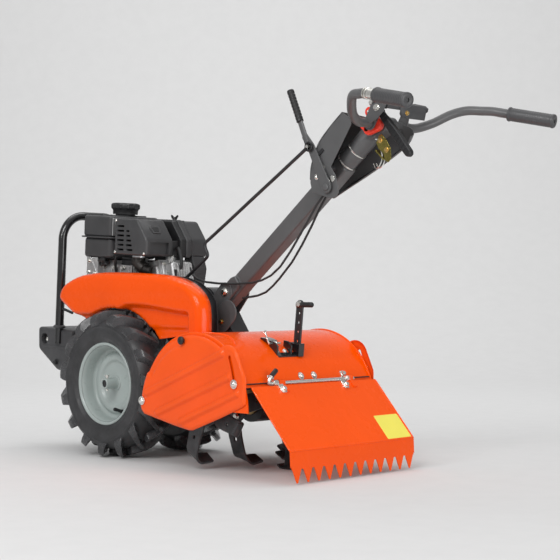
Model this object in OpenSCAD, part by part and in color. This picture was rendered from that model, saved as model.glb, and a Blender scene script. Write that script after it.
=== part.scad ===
// Rear-tine tiller: petrol engine over two drive wheels, tine rotor under a sheet hood behind them.
// +X points to the operator, +Y to the machine's right, +Z up. The wheels stand on z = 0.

/* [Wheels] */
// Tyre outside diameter
tyre_d = 406; // [390:1:420]
// Tyre section width
tyre_w = 115; // [105:1:120]
// Distance between the tyre centre planes
track = 249; // [245:1:255]
// Rim flange diameter
rim_d = 226; // [220:1:230]
// Wheel axle diameter
axle_d = 20; // [18:1:22]
// Lugs round each tyre side
lug_count = 11; // [8:1:14]

/* [Tines] */
// Distance from the wheel axle back to the tine shaft
tine_x = 430; // [425:1:440]
// Height of the tine shaft
tine_z = 168; // [165:1:175]
// Radius swept by the tine tips
tine_r = 158; // [150:1:160]
// Tine shaft diameter
tine_shaft_d = 30; // [26:1:32]

/* [Hood] */
// Radius of the hood over the tines
hood_r = 192; // [188:1:196]
// Width of the hood over its sheet sides
hood_w = 470; // [460:1:476]
// Hood and flap sheet thickness
sheet_t = 2; // [1.5:0.5:3]

/* [Engine] */
// Lean of the engine and front end, rear side down, in degrees
lean = 3.5; // [0:0.5:4]
// Height of the engine crankshaft
crank_z = 473; // [470:1:478]
// Engine pulley radius
engine_pulley_r = 28; // [26:1:29]
// Driven pulley radius
driven_pulley_r = 62; // [56:1:64]

/* [Handles] */
// Slope of the column in degrees
column_angle = 38.66; // [37:0.1:40]
// Handlebar tube diameter
bar_d = 25; // [22:1:27]
// Grip diameter
grip_d = 34; // [32:1:36]
// Height of the grip ends
grip_z = 870; // [860:1:880]

// Column tube width
column_w = 42; // [38:1:44]

/* [Hidden] */
$fn = 64;
fit = 0.05;             // radial clearance of a turning fit
axle_x = -390;          // the wheel axle, seen from the middle of the machine's length
axle_z = tyre_d / 2;
wheel_y = track / 2;
pin_y = 162;            // pin that holds a hub on the axle
case_half = 30;         // half width of the gear case
input_x = 255;
input_z = 425;
crank_x = -75;
belt_y = -101;          // plane of the drive belt
back_y = -90;           // open side of the belt cover, closed by its back plate
hood_c = [437, 161];    // centre of the hood's arc
hood_in = hood_w / 2 - 3;
hinge = [629, 232];     // hinge line of the rear flap
flap_slope = 48;
stake_top = [582, 436]; // top of the depth stake
stake_lean = 6;
shield_pivot = [244, 174];
shield_bolt = [589, 232];
knob_p = [400, 334];    // knob at the top of a side shield
bar_p = [868, 862];     // cross tube of the handlebar
clutch_p = [893, 888];  // pivot of the clutch lever
bail_p = [888, 908];    // pivot of the drive bail
lock_p = [846, 893];    // pivot of the handle lock
shift_p = [735, 715];   // pivot of the shift lever
shift_pin = [683, 817]; // where the shift rod hooks in
column_a = [318, 441];  // lower end of the column tube
column_len = 540;

steel = [0.72, 0.73, 0.74];
black = [0.12, 0.12, 0.13];
grey = [0.40, 0.40, 0.41];
orange = [0.98, 0.37, 0.08];
plastic = [0.24, 0.24, 0.25];
zinc = [0.80, 0.80, 0.78];
rubber = [0.16, 0.16, 0.17];
alloy = [0.70, 0.71, 0.72];

// ---------- helpers ----------
// Moves the wheel axle's own frame to the machine's frame
module place() { translate([axle_x, 0, 0]) children(); }

// Extrudes an outline drawn in x and z from y0 to y1
module slab(y0, y1) {
    translate([0, y1, 0]) rotate([90, 0, 0]) linear_extrude(y1 - y0) children();
}

// Round bar along y through the point p = [x, z]
module rod_y(p, r, y0, y1) {
    translate([p[0], y0, p[1]]) rotate([-90, 0, 0]) cylinder(r = r, h = y1 - y0);
}

// Ring along y
module ring_y(p, r_out, r_in, y0, y1) {
    difference() {
        rod_y(p, r_out, y0, y1);
        rod_y(p, r_in, y0 - 1, y1 + 1);
    }
}

// Points of an arc about p from angle a0 to a1
function arc(p, r, a0, a1, n = 16) =
    [for (i = [0:n]) let (a = a0 + (a1 - a0) * i / n) p + r * [cos(a), sin(a)]];

// Outline round two discs: an arc about each, joined by their tangents
module link2d(a, ra, b, rb) {
    along = atan2(b[1] - a[1], b[0] - a[0]);
    open = acos((ra - rb) / norm(b - a));
    polygon(concat(
        arc(a, ra, along + open, along + 360 - open),
        arc(b, rb, along - open, along + open)
    ));
}

// Rectangle with rounded corners
module rounded(size, r) {
    translate([r, 0]) square([size[0] - 2 * r, size[1]]);
    translate([0, r]) square([size[0], size[1] - 2 * r]);
    for (x = [r, size[0] - r], y = [r, size[1] - r]) translate([x, y]) circle(r);
}

// Straight round bar between two points in space
module bar(p, q, r) {
    v = q - p;
    translate(p)
        rotate([0, acos(v[2] / norm(v)), atan2(v[1], v[0])])
            cylinder(r = r, h = norm(v));
}

// Mirror copy across the machine's middle plane
module both() {
    children();
    mirror([0, 1, 0]) children();
}

// Frame of the engine: origin on the crankshaft
module on_engine() {
    translate([crank_x, 0, crank_z]) rotate([0, lean, 0]) children();
}

// Frame of the cylinder: x runs out along the bore
module on_cylinder() {
    on_engine() translate([0, 0, -10]) rotate([0, -15, 0]) children();
}

// Frame of the column: x runs up the column from its lower end
module on_column() {
    translate([column_a[0], 0, column_a[1]]) rotate([0, -column_angle, 0]) children();
}

// Frame of the depth stake: z runs up the stake from the ground
module on_stake() {
    translate([stake_top[0] - stake_top[1] * tan(stake_lean), 0, 0])
        rotate([0, stake_lean, 0]) children();
}

// Points of a circle across a path, for a swept tube
function side_of(d) = let (s = cross(d, [0, 0, 1])) s / norm(s);
function along(p, i) = let (a = p[max(i - 1, 0)], b = p[min(i + 1, len(p) - 1)])
    (b - a) / norm(b - a);
function ring_at(p, i, r, n) = let (d = along(p, i), s = side_of(d), t = cross(s, d))
    [for (k = [0:n - 1]) p[i] + r * (s * cos(k * 360 / n) + t * sin(k * 360 / n))];

// Points of a smooth curve through the given points
function curve_at(p, i, t) = let (
    a = p[max(i - 1, 0)], b = p[i], c = p[i + 1], d = p[min(i + 2, len(p) - 1)]
) b + (c - a) * t / 2 + (2 * a - 5 * b + 4 * c - d) * t * t / 2
    + (3 * b - a - 3 * c + d) * t * t * t / 2;
function smooth(p, n = 5) = [
    for (i = [0:len(p) - 2], k = [0:n - 1]) curve_at(p, i, k / n),
    p[len(p) - 1]
];

// Tube swept along a list of points
module sweep(p, r, n = 8) {
    last = len(p) - 1;
    polyhedron(
        points = [for (i = [0:last]) each ring_at(p, i, r, n)],
        faces = [
            [for (k = [0:n - 1]) n - 1 - k],
            for (i = [0:last - 1], k = [0:n - 1])
                [i * n + k, i * n + (k + 1) % n, (i + 1) * n + (k + 1) % n, (i + 1) * n + k],
            [for (k = [0:n - 1]) last * n + k]
        ]
    );
}

// ---------- wheels ----------
module axle() {
    color(steel) place() difference() {
        rod_y([0, axle_z], axle_d / 2, -170, 170);
        for (s = [-1, 1]) translate([0, s * pin_y, axle_z - 40]) cylinder(r = 4, h = 80);
    }
}

// Wheel section drawn as radius and outward offset, turned about the axle
module wheel_turn(side) {
    translate([0, side * wheel_y, axle_z]) rotate([side < 0 ? 90 : -90, 0, 0])
        rotate_extrude($fn = 96) children();
}

module rim(side) {
    f = rim_d / 2;
    difference() {
        wheel_turn(side) {
            polygon([
                [f, 47.5], [f, 45.5], [105, 45], [101, 40], [101, -40], [105, -45],
                [f, -45.5], [f, -47.5], [104, -47.5], [98, -41], [98, 0.5], [87, 0.5], [79, 9],
                [65, 9], [57, 1], [15, 2], [15, 5], [56, 4], [64, 12], [80, 12], [88, 4],
                [98, 4], [98, 41], [104, 47.5]
            ]);
            translate([axle_d / 2, -40]) square([15 - axle_d / 2, 90]);
        }
        translate([0, side * pin_y, axle_z - 40]) cylinder(r = 4, h = 80);
    }
}
module rim_left() { color([0.69, 0.73, 0.72]) place() rim(-1); }
module rim_right() { color([0.69, 0.73, 0.72]) place() rim(1); }

module tyre(side) {
    w = tyre_w / 2;
    crown = tyre_d / 2 - 13;
    wheel_turn(side) polygon([
        [101.5, 39], [116, 44], [130, 54], [150, w], [170, w - 2], [183, 48], [crown, 30],
        [crown + 1, 0], [crown, -30], [183, -48], [170, 2 - w], [150, -w], [130, -54],
        [116, -44], [101.5, -39], [101.5, -32], [116, -37], [133, -46], [150, 8 - w],
        [168, 9 - w], [178, -40], [crown - 8, -26], [crown - 7, 0], [crown - 8, 26],
        [178, 40], [168, w - 9], [150, w - 8], [133, 46], [116, 37], [101.5, 32]
    ]);
    translate([0, side * wheel_y, axle_z]) intersection() {
        rotate([90, 0, 0]) difference() {
            cylinder(r = tyre_d / 2, h = tyre_w, center = true, $fn = 96);
            cylinder(r = crown - 4, h = tyre_w + 2, center = true, $fn = 96);
        }
        for (i = [0:lug_count - 1], s = [-1, 1])
            rotate([0, 90 + (i + (s + 1) / 4) * 360 / lug_count, 0])
                translate([crown - 6, s * 27, 0]) rotate([s * 30, 0, 0])
                    translate([0, -32, -7]) cube([30, 64, 14]);
    }
}
module tyre_left() { color(rubber) place() tyre(-1); }
module tyre_right() { color(rubber) place() tyre(1); }

module hub_pins() {
    color(zinc) place() for (s = [-1, 1]) translate([0, s * pin_y, axle_z - 20]) {
        cylinder(r = 4, h = 40);
        translate([0, 0, 40]) cylinder(r = 7, h = 4);
    }
}

// ---------- gear case and drive ----------
module case_outline(inset) {
    meet = [335, 300];
    link2d([0, axle_z], 50 - inset, meet, 50 - inset);
    link2d([input_x, input_z], 44 - inset, [tine_x, tine_z], 52 - inset);
}

module case_half_shell(side) {
    out = side * case_half;
    in = side * (case_half - 6);
    difference() {
        slab(min(0, out), max(0, out)) case_outline(0);
        slab(min(-side, in), max(-side, in)) case_outline(6);
        rod_y([0, axle_z], 18, -60, 60);
        rod_y([tine_x, tine_z], 24, -60, 60);
        rod_y([input_x, input_z], 16, -60, 60);
    }
}
module case_left() { color(black) place() case_half_shell(-1); }
module case_right() { color(black) place() case_half_shell(1); }

// Flanged bushes that carry the axle, the tine shaft and the input shaft
module shaft_bushes() {
    in = 6 - case_half;
    color([0.75, 0.6, 0.3]) place() both() {
        ring_y([0, axle_z], 18, axle_d / 2 + fit, -case_half - 6, in);
        ring_y([0, axle_z], 26, 18, -case_half - 6, -case_half);
        ring_y([tine_x, tine_z], 24, tine_shaft_d / 2 + fit, -case_half - 6, in);
        ring_y([tine_x, tine_z], 32, 24, -case_half - 6, -case_half);
        ring_y([input_x, input_z], 16, 10 + fit, -case_half, in);
    }
}

module input_shaft() {
    color(steel) place() {
        rod_y([input_x, input_z], 10, -113, case_half);
        rod_y([input_x, input_z], 13, -8, 8);
    }
}

// Grooved belt pulley with its bore
module pulley(p, r, bore) {
    difference() {
        union() {
            rod_y(p, r - 7.5, belt_y - 9.5, belt_y + 9.5);
            for (y = [-9.5, 6.5]) rod_y(p, r, belt_y + y, belt_y + y + 3);
        }
        if (bore > 0) rod_y(p, bore, belt_y - 20, belt_y + 20);
    }
}

module engine_pulley() {
    color(steel) place() {
        rod_y([crank_x, crank_z], 10, -112, -20);
        pulley([crank_x, crank_z], engine_pulley_r, 0);
    }
}
module driven_pulley() {
    color(grey) place() pulley([input_x, input_z], driven_pulley_r, 10);
}

module drive_belt() {
    a = [crank_x, crank_z];
    b = [input_x, input_z];
    color(rubber) place() slab(belt_y - 6, belt_y + 6) difference() {
        link2d(a, engine_pulley_r + 1, b, driven_pulley_r + 1);
        link2d(a, engine_pulley_r - 7, b, driven_pulley_r - 7);
    }
}

module tine_chain() {
    a = [input_x, input_z];
    b = [tine_x, tine_z];
    color([0.45, 0.42, 0.38]) place() slab(-5, 5) difference() {
        link2d(a, 20, b, 40);
        link2d(a, 14, b, 34);
    }
}

// Belt clutch: an arm that presses its roller on the lower run from inside
idler_p = [168, 448];
idler_w = [104, 446];
module idler_arm() {
    color(zinc) place() difference() {
        union() {
            slab(-115, -111) link2d(idler_p, 12, idler_w, 9);
            rod_y(idler_w, 6, -113, -107);
            rod_y(idler_w, 16, -109, -95);
        }
        rod_y(idler_p, 6 + fit, -120, -60);
    }
}

// ---------- frame ----------
module engine_deck() {
    color(black) place() difference() {
        union() {
            on_engine() translate([-85, -58, -112]) cube([240, 116, 6]);
            both() slab(-case_half - 5, -case_half)
                polygon([[-145, 364], [120, 350], [60, 185], [-40, 185], [-145, 280]]);
            translate([-150, -50, 262]) cube([6, 100, 102]);
        }
        rod_y([0, axle_z], 26, -80, 80);
    }
}

bumper_x = -288;
bumper_y = 108;
module on_bumper() { translate([bumper_x, 0, 345]) rotate([0, lean, 0]) children(); }

module front_weight() {
    outline = [
        [-390, 351], [-150, 337], [-150, 262], [-225, 252], [-262, 226], [-300, 226],
        [-382, 283], [-390, 292]
    ];
    color([0.27, 0.27, 0.28]) place() difference() {
        intersection() {
            slab(-110, 110) polygon(outline);
            translate([-400, 0, 0]) linear_extrude(400) {
                translate([0, -110]) square([172, 220]);
                translate([170, -50]) square([90, 100]);
            }
        }
        rod_y([-356, 318], 16, -120, 120);
        on_bumper() both() translate([0, -bumper_y, -40]) cylinder(r = 12.5, h = 90);
        for (z = [285, 318]) translate([-190, 0, z]) rotate([0, 90, 0]) cylinder(r = 6, h = 60);
    }
}

module front_bumper() {
    bend = 70;
    top = 334;
    color(black) place() on_bumper() both() {
        translate([0, -bumper_y, -40]) cylinder(r = 12.5, h = top - bend + 40);
        translate([0, bend - bumper_y, top - bend]) rotate([0, -90, 0])
            rotate([0, 0, -90]) rotate_extrude(angle = 90) translate([bend, 0]) circle(12.5);
        translate([0, bend - bumper_y, top]) rotate([-90, 0, 0])
            cylinder(r = 12.5, h = bumper_y - bend);
    }
}

// Side outline of the belt cover, above the tyre
module cover_outline() {
    polygon([
        [-237, 441], [-228, 462], [-206, 481], [-146, 501], [-47, 509], [83, 506], [248, 496],
        [306, 480], [342, 456], [362, 430], [367, 392], [367, 352], [236, 330], [-40, 330],
        [-137, 370], [-197, 407], [-232, 430]
    ]);
}
module cover_panel() {
    polygon([
        [-237, 441], [-228, 462], [-206, 481], [-146, 501], [-47, 509], [83, 506], [248, 496],
        [306, 480], [342, 456], [362, 430], [367, 396], [318, 407], [167, 418], [62, 426],
        [-16, 410], [-80, 395], [-137, 370], [-197, 407], [-232, 430]
    ]);
}
module tyre_gap() { translate([0, axle_z]) circle(210); }

module belt_cover() {
    wall = 3;
    color(orange) place() difference() {
        union() {
            slab(-150, back_y) difference() { cover_panel(); tyre_gap(); }
            slab(-119, back_y) difference() { cover_outline(); tyre_gap(); }
        }
        slab(wall - 150, -60) offset(delta = -wall) cover_panel();
        slab(wall - 119, -60) offset(delta = -wall) cover_outline();
    }
}

module belt_cover_back() {
    color(black) place() {
        difference() {
            slab(back_y, back_y + 2) cover_outline();
            slab(back_y - 5, back_y + 5) tyre_gap();
            rod_y([crank_x, crank_z], 28, back_y - 5, back_y + 5);
            rod_y([input_x, input_z], 20, back_y - 5, back_y + 5);
        }
        rod_y(idler_p, 6, -113, back_y);
    }
}

// ---------- engine ----------
module crankcase() {
    color(alloy) place() on_engine() difference() {
        union() {
            translate([-75, -62, -94]) cube([133, 120, 154]);
            translate([-75, -58, 60]) cube([60, 112, 12]);
            translate([-98, -56, -106]) cube([178, 112, 12]);
            rod_y([0, 0], 28, back_y, -62);
            translate([-116, -84, 28]) cube([50, 22, 46]);
        }
        rod_y([0, 0], 10 + fit, -120, -18);
        for (x = [-88, 70], y = [-44, 44]) translate([x, y, -110]) cylinder(r = 4.2, h = 20);
    }
}

module cylinder_block() {
    color(alloy) place() intersection() {
        on_cylinder() {
            translate([40, -42, -38]) cube([88, 84, 76]);
            for (i = [0:8]) translate([50 + i * 8.5, -49, -52]) cube([3, 98, 106]);
            translate([128, -50, -46]) cube([47, 100, 94]);
        }
        on_engine() translate([58, -100, -100]) cube([200, 200, 250]);
    }
}

module valve_cover() {
    color(alloy) place() on_cylinder() {
        translate([175, -40, -38]) cube([8, 80, 76]);
        translate([183, -36, -34]) cube([36, 72, 68]);
        for (i = [0:6]) translate([185, -33 + i * 10, -32]) cube([37, 4, 64]);
    }
}

module spark_plug() {
    color([0.9, 0.9, 0.88]) place() on_cylinder() {
        rod_y([152, 0], 9, 50, 56);
        rod_y([152, 0], 6, 56, 84);
        rod_y([152, 0], 9, 84, 100);
    }
}

tank_z = 76;
neck = [-61, 5];
module fuel_tank() {
    color(plastic) place() on_engine() {
        difference() {
            union() {
                translate([-144, -88, tank_z]) linear_extrude(60) rounded([136, 184], 18);
                translate([-149, -93, tank_z + 58]) linear_extrude(3) rounded([146, 194], 22);
                translate([-144, -88, tank_z + 61]) linear_extrude(61) rounded([136, 184], 18);
            }
            translate([-141, -85, tank_z + 3]) linear_extrude(116) rounded([130, 178], 15);
            translate([neck[0], neck[1], tank_z + 100]) cylinder(r = 24, h = 60);
        }
        translate([neck[0], neck[1], tank_z + 122]) difference() {
            cylinder(r = 27, h = 12);
            translate([0, 0, -1]) cylinder(r = 24, h = 14);
        }
    }
}

module fuel_cap() {
    color(black) place() on_engine() translate([neck[0], neck[1], tank_z + 124]) difference() {
        union() {
            cylinder(r = 36, h = 14);
            translate([0, 0, 14]) cylinder(r = 40, h = 18);
            for (i = [0:11]) rotate(i * 30) translate([37, 0, 16]) cylinder(r = 5, h = 14);
        }
        translate([0, 0, -1]) cylinder(r = 27.5, h = 11.5);
    }
}

// Side outline shared by the muffler guard and the air cleaner
module box_outline(d) {
    polygon([
        [46 + d, 92 - d / 2], [46 + d, 192 - d], [140 - d / 2, 192 - d],
        [183 - d, 138 - d / 3], [183 - d, 92 - d / 2]
    ]);
}

module muffler_guard() {
    color(plastic) place() on_engine() difference() {
        slab(-120, -22) box_outline(0);
        slab(-118, -20) box_outline(2);
        for (i = [0:5]) translate([56, -125, 102 + i * 13]) cube([24, 10, 6]);
        for (i = [0:4]) translate([90, -125, 102 + i * 13]) cube([34 - i * 5, 10, 6]);
        translate([50, -116, 60]) cube([130, 92, 40]);
    }
}

module muffler() {
    color([0.3, 0.29, 0.28]) place() on_engine() {
        rod_y([104, 146], 38, -114, -26);
        translate([100, -68, 62]) cylinder(r = 17, h = 56);
        bar([100, -68, 70], [138, -62, 50], 11);
    }
}

module air_cleaner_base() {
    color(black) place() on_engine() {
        slab(8, 30) box_outline(0);
        translate([158, 52, 16]) cube([36, 46, 76]);
    }
}

module air_cleaner_cover() {
    color(plastic) place() on_engine() {
        difference() {
            slab(30, 108) box_outline(0);
            slab(29, 105) box_outline(3);
        }
        translate([92, 60, 192]) {
            cylinder(r = 4, h = 8);
            translate([-14, -2, 8]) cube([28, 4, 10]);
        }
    }
}

module air_filter() {
    color([0.85, 0.8, 0.5]) place() on_engine() translate([60, 30, 104]) cube([76, 62, 70]);
}

module carburettor() {
    color([0.35, 0.35, 0.35]) place() on_engine() {
        translate([140, -16, 92]) cube([36, 24, 58]);
        translate([158, -4, 84]) cylinder(r = 12, h = 8);
        rod_y([158, 132], 14, -22, -16);
    }
}

module blower_housing() {
    color(black) place() on_engine() difference() {
        slab(58, 104) link2d([0, 0], 70, [92, 18], 38);
        slab(57, 101) link2d([0, 0], 67, [92, 18], 35);
    }
}

module recoil_starter() {
    color(plastic) place() on_engine() {
        difference() {
            rod_y([0, 0], 62, 104, 126);
            for (i = [0:11]) rotate([0, i * 30, 0]) translate([30, 110, -3]) cube([22, 30, 6]);
        }
        translate([-48, 130, 40]) rotate([0, 40, 0]) cube([12, 12, 34]);
        translate([-44, 115, 42]) rotate([0, 40, 0]) cube([6, 20, 8]);
    }
}

// ---------- hood, flap and shields ----------
// Circle sector of the hood between two angles
module hood_sector(r) {
    intersection() {
        translate(hood_c) circle(r, $fn = 128);
        polygon([
            hood_c, hood_c + 400 * [cos(19), sin(19)], hood_c + 500 * [cos(60), sin(60)],
            hood_c + 500 * [cos(120), sin(120)], hood_c + 400 * [cos(163), sin(163)]
        ]);
    }
}

module tine_hood() {
    color(orange) place() difference() {
        slab(-hood_in, hood_in) difference() {
            hood_sector(hood_r);
            translate(hood_c) circle(hood_r - sheet_t, $fn = 128);
        }
        slab(-case_half - 0.5, case_half + 0.5) case_outline(-0.5);
        on_stake() translate([-11.5, -3.5, 250]) cube([23, 7, 140]);
    }
}
module hood_sides() {
    color(orange) place() both() difference() {
        slab(-hood_in - 3, -hood_in) intersection() {
            translate(hood_c) circle(hood_r, $fn = 128);
            translate([240, 162]) square([420, 300]);
        }
        for (p = [shield_pivot, shield_bolt]) rod_y(p, 5, -300, -200);
        rod_y(knob_p, 5, -300, -200);
    }
}

// Point on an arc about the shield pivot, turned by a degrees from p
function swing(p, a) = let (v = p - shield_pivot)
    shield_pivot + [v[0] * cos(a) - v[1] * sin(a), v[0] * sin(a) + v[1] * cos(a)];

module shield_outline() {
    intersection() {
        union() {
            translate(hood_c) circle(186, $fn = 128);
            translate([432, 150]) circle(198, $fn = 128);
            link2d([560, 285], 42, [590, 240], 34);
        }
        polygon([
            [225, 400], [225, 190], [236, 150], [255, 134], [367, 116], [427, 108], [534, 145],
            [612, 176], [625, 192], [632, 400]
        ]);
    }
}

module shield() {
    slab(-hood_w / 2 - 6, -hood_w / 2 - 3.5) difference() {
        shield_outline();
        translate(shield_pivot) circle(5 + fit);
        for (i = [0:2]) link2d(
            swing(shield_bolt, i * 3.2), 5.5, swing(shield_bolt, i * 3.2 + 3.2), 5.5);
        for (i = [0:2])
            link2d(swing(knob_p, i * 4), 5.5, swing(knob_p, i * 4 + 4), 5.5);
    }
}
module shield_left() { color([0.96, 0.38, 0.16]) place() shield(); }
module shield_right() { color([0.96, 0.38, 0.16]) place() mirror([0, 1, 0]) shield(); }

module shield_knobs() {
    y = -hood_w / 2;
    color(black) place() both() {
        rod_y(knob_p, 5, y - 7, y + 3);
        rod_y(knob_p, 11, y - 20, y - 7);
    }
}

module frame_bolts() {
    y = -hood_w / 2;
    color(zinc) place() {
        both() for (p = [shield_pivot, shield_bolt]) {
            rod_y(p, 5, y - 7, y + 3);
            rod_y(p, 10, y - 12, y - 7);
        }
        both() for (p = [[280, 398], [336, 456]]) {
            rod_y(p, 8, -case_half - 9, -case_half - 4);
        }
        for (x = [-88, 70], y = [-44, 44])
            on_engine() translate([x, y, -94]) cylinder(r = 8, h = 6);
        for (z = [285, 318]) {
            translate([-190, 0, z]) rotate([0, 90, 0]) cylinder(r = 6, h = 40);
            translate([-144, 0, z]) rotate([0, 90, 0]) cylinder(r = 10, h = 6);
        }
    }
}

knuckle_r = 8;
hood_knuckles = [[-150, -132], [112, 126]];
flap_knuckles = [[-131.7, -112], [126.3, 142]];

module hinge_rod() {
    color(zinc) place() {
        rod_y(hinge, 4, -160, 150);
        bar([hinge[0], -160, hinge[1]], [hinge[0] - 4, -168, hinge[1] + 26], 4);
        for (k = hood_knuckles) difference() {
            union() {
                rod_y(hinge, knuckle_r, k[0], k[1]);
                slab(k[0], k[1]) intersection() {
                    difference() {
                        translate(hood_c) circle(hood_r + 3);
                        translate(hood_c) circle(hood_r);
                    }
                    polygon([hood_c, [640, 231], [640, 252], hood_c + [190, 95]]);
                }
            }
            rod_y(hinge, 4, k[0] - 1, k[1] + 1);
        }
    }
}

// Sloping plate that folds down into a toothed strip, seen from the hinge line
flap_len = 204;
flap_half = 230;
flap_teeth = 12;
tooth_h = 42;
module flap_section() {
    down = [cos(flap_slope), -sin(flap_slope)];
    out = [sin(flap_slope), cos(flap_slope)];
    top = hinge + 9 * down;
    fold = hinge + flap_len * down;
    foot = [fold[0] + 4, 4];
    polygon([
        top + out, fold + [1, 0.5], foot + [1, 0], foot - [1, 0], fold - [1, 0.5], top - out
    ]);
}

module flap() {
    tooth = 2 * (flap_half - 2) / flap_teeth;
    color([0.98, 0.36, 0.08]) place() difference() {
        union() {
            slab(-flap_half, flap_half) flap_section();
            for (k = flap_knuckles) {
                rod_y(hinge, knuckle_r, k[0], k[1]);
                translate([hinge[0], k[0], hinge[1]]) rotate([0, flap_slope, 0])
                    translate([6, 1, 0.5]) cube([24, k[1] - k[0] - 2, 3]);
            }
        }
        for (k = flap_knuckles) rod_y(hinge, 4 + fit, k[0] - 1, k[1] + 1);
        translate([740, 0, 4]) rotate([90, 0, 90]) linear_extrude(60)
            for (i = [0:flap_teeth]) translate([(i - flap_teeth / 2) * tooth, 0])
                polygon([[-0.46 * tooth, -1], [0.46 * tooth, -1], [0, tooth_h]]);
    }
}

module stake_bracket() {
    color(black) place() difference() {
        union() {
            on_stake() translate([-18, -10, 296]) cube([36, 20, 32]);
            slab(-78, -10) polygon([[545, 290], [575, 290], [575, 322], [562, 332], [545, 332]]);
            slab(-80, -50) polygon([[545, 322], [545, 332], [520, 338], [520, 330]]);
        }
        slab(-100, 100) translate(hood_c) circle(hood_r, $fn = 128);
        on_stake() translate([-11.2, -3.2, 250]) cube([22.4, 6.4, 140]);
        rod_y([551, 326], 3 + fit, -85, -40);
    }
}

// Depth stake: a drilled flat bar with a skid at its foot and a side handle at its top
module stake() {
    len = stake_top[1] / cos(stake_lean);
    color(black) place() {
        on_stake() difference() {
            translate([-11, -3, 3]) cube([22, 6, len - 3]);
            for (i = [0:4]) translate([0, 10, len - 34 - i * 24]) rotate([90, 0, 0])
                cylinder(r = 4, h = 20);
            translate([-20, -10, -10]) cube([50, 20, 16]);
        }
        translate([stake_top[0] - stake_top[1] * tan(stake_lean) - 28, -12, 0])
            cube([70, 24, 6]);
        on_stake() translate([0, 3, len - 10]) rotate([-90, 0, 0]) cylinder(r = 9, h = 5);
        translate([stake_top[0] + 8, 0, stake_top[1] - 12]) rotate([0, 90, 0])
            cylinder(r = 6, h = 42);
    }
}

// Spring latch of the stake on its own short pin
module stake_latch() {
    color(zinc) place() {
        rod_y([551, 326], 3, -84, -44);
        bar([551, -82, 326], [540, -82, 352], 2.5);
    }
}

// ---------- column and console ----------
module column() {
    color(grey) place() on_column() {
        difference() {
            translate([0, -column_w / 2, -26]) cube([column_len, column_w, 46]);
            translate([62, 3 - column_w / 2, -23]) cube([column_len, column_w - 6, 40]);
        }
        translate([-4, -30, -20]) cube([62, 60, 40]);
    }
}

module column_ears() {
    color(grey) place() both() difference() {
        slab(-case_half - 4, -case_half) link2d([276, 392], 30, [336, 456], 26);
        rod_y([input_x, input_z], 16, -50, 0);
    }
}

// Sheet console: a left guide plate, a deeper right cheek and the trough that joins them
module console() {
    left = [
        [680, 706], [741, 686], [768, 700], [757, 745], [740, 767], [810, 864], [782, 894],
        [706, 827], [676, 755]
    ];
    right = [
        [660, 704], [708, 729], [868, 806], [912, 842], [900, 858], [828, 880], [782, 894],
        [706, 827], [660, 762]
    ];
    color([0.38, 0.38, 0.39]) place() difference() {
        union() {
            slab(-62, -59) polygon(left);
            slab(51, 54) polygon(right);
            for (p = [[696, 742], [716, 764]]) {
                rod_y(p, 9, -59, -column_w / 2);
                rod_y(p, 9, column_w / 2, 51);
            }
        }
        rod_y(shift_p, 6, -80, -40);
        rod_y(bar_p, bar_d / 2 + 1.5, 40, 60);
    }
}

module handle_stem() {
    stem_len = 115;
    color([0.43, 0.43, 0.44]) place() difference() {
        union() {
            on_column() translate([column_len, 0, 0]) rotate([0, 90, 0])
                cylinder(r = 26, h = stem_len);
            slab(-24, 24) link2d([836, 850], 22, bar_p, 20);
            rod_y(lock_p, 4, -42, -10);
            slab(-24, -10) link2d(lock_p, 8, [836, 866], 12);
        }
        rod_y(bar_p, bar_d / 2 + fit, -40, 40);
    }
}

module lock_lever() {
    color([0.9, 0.2, 0.13]) place() difference() {
        union() {
            rod_y(lock_p, 12, -40, -25);
            slab(-38, -28) link2d(lock_p, 9, [884, 866], 7);
        }
        rod_y(lock_p, 4 + fit, -60, -20);
        rod_y(bar_p, bar_d / 2 + 1.5, -60, -20);
    }
}

// ---------- handlebar and levers ----------
grip_a = [1041, -247, 897];
grip_b = [1165, -280, grip_z];
grip_dir = (grip_b - grip_a) / norm(grip_b - grip_a);
horn = [
    [bar_p[0], -50, bar_p[1]], [bar_p[0], -74, bar_p[1]], [872, -110, 856], [890, -152, 864],
    [920, -187, 892], [950, -212, 907], [985, -229, 906], grip_a - 30 * grip_dir, grip_a,
    grip_b - 6 * grip_dir
];

module handlebar() {
    color(grey) place() {
        rod_y(bar_p, bar_d / 2, -76, 76);
        both() {
            sweep(smooth(horn, 3), bar_d / 2 - 0.2, 16);
            slab(-62, -58) link2d(bar_p, 17, bail_p, 9);
            rod_y(bail_p, 4, -79, -60);
        }
        slab(-61, -57) link2d(bar_p, 15, clutch_p, 8);
        rod_y(clutch_p, 4, -60, -38);
    }
}

module grips() {
    color(rubber) place() both() difference() {
        bar(grip_a, grip_b, grip_d / 2);
        bar(grip_a - 40 * grip_dir, grip_b - 6 * grip_dir, bar_d / 2);
    }
}

module clutch_lever() {
    color(black) place() difference() {
        union() {
            rod_y(clutch_p, 9, -56, -42);
            slab(-54, -45) link2d(clutch_p, 8, [906, 872], 9);
            slab(-55, -44) link2d([906, 872], 9, [982, 782], 8);
        }
        rod_y(clutch_p, 4 + fit, -80, -30);
    }
}

// Drive bail: a flat strap that loops from one side of the handlebar to the other
module drive_bail() {
    tip = [930, 900];
    color([0.42, 0.44, 0.46]) place() {
        both() difference() {
            slab(-75, -70) link2d(bail_p, 10, tip, 9);
            rod_y(bail_p, 4 + fit, -90, -50);
        }
        slab(-70, 70) link2d(tip, 9, tip - [20, -4], 7);
    }
}

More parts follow.
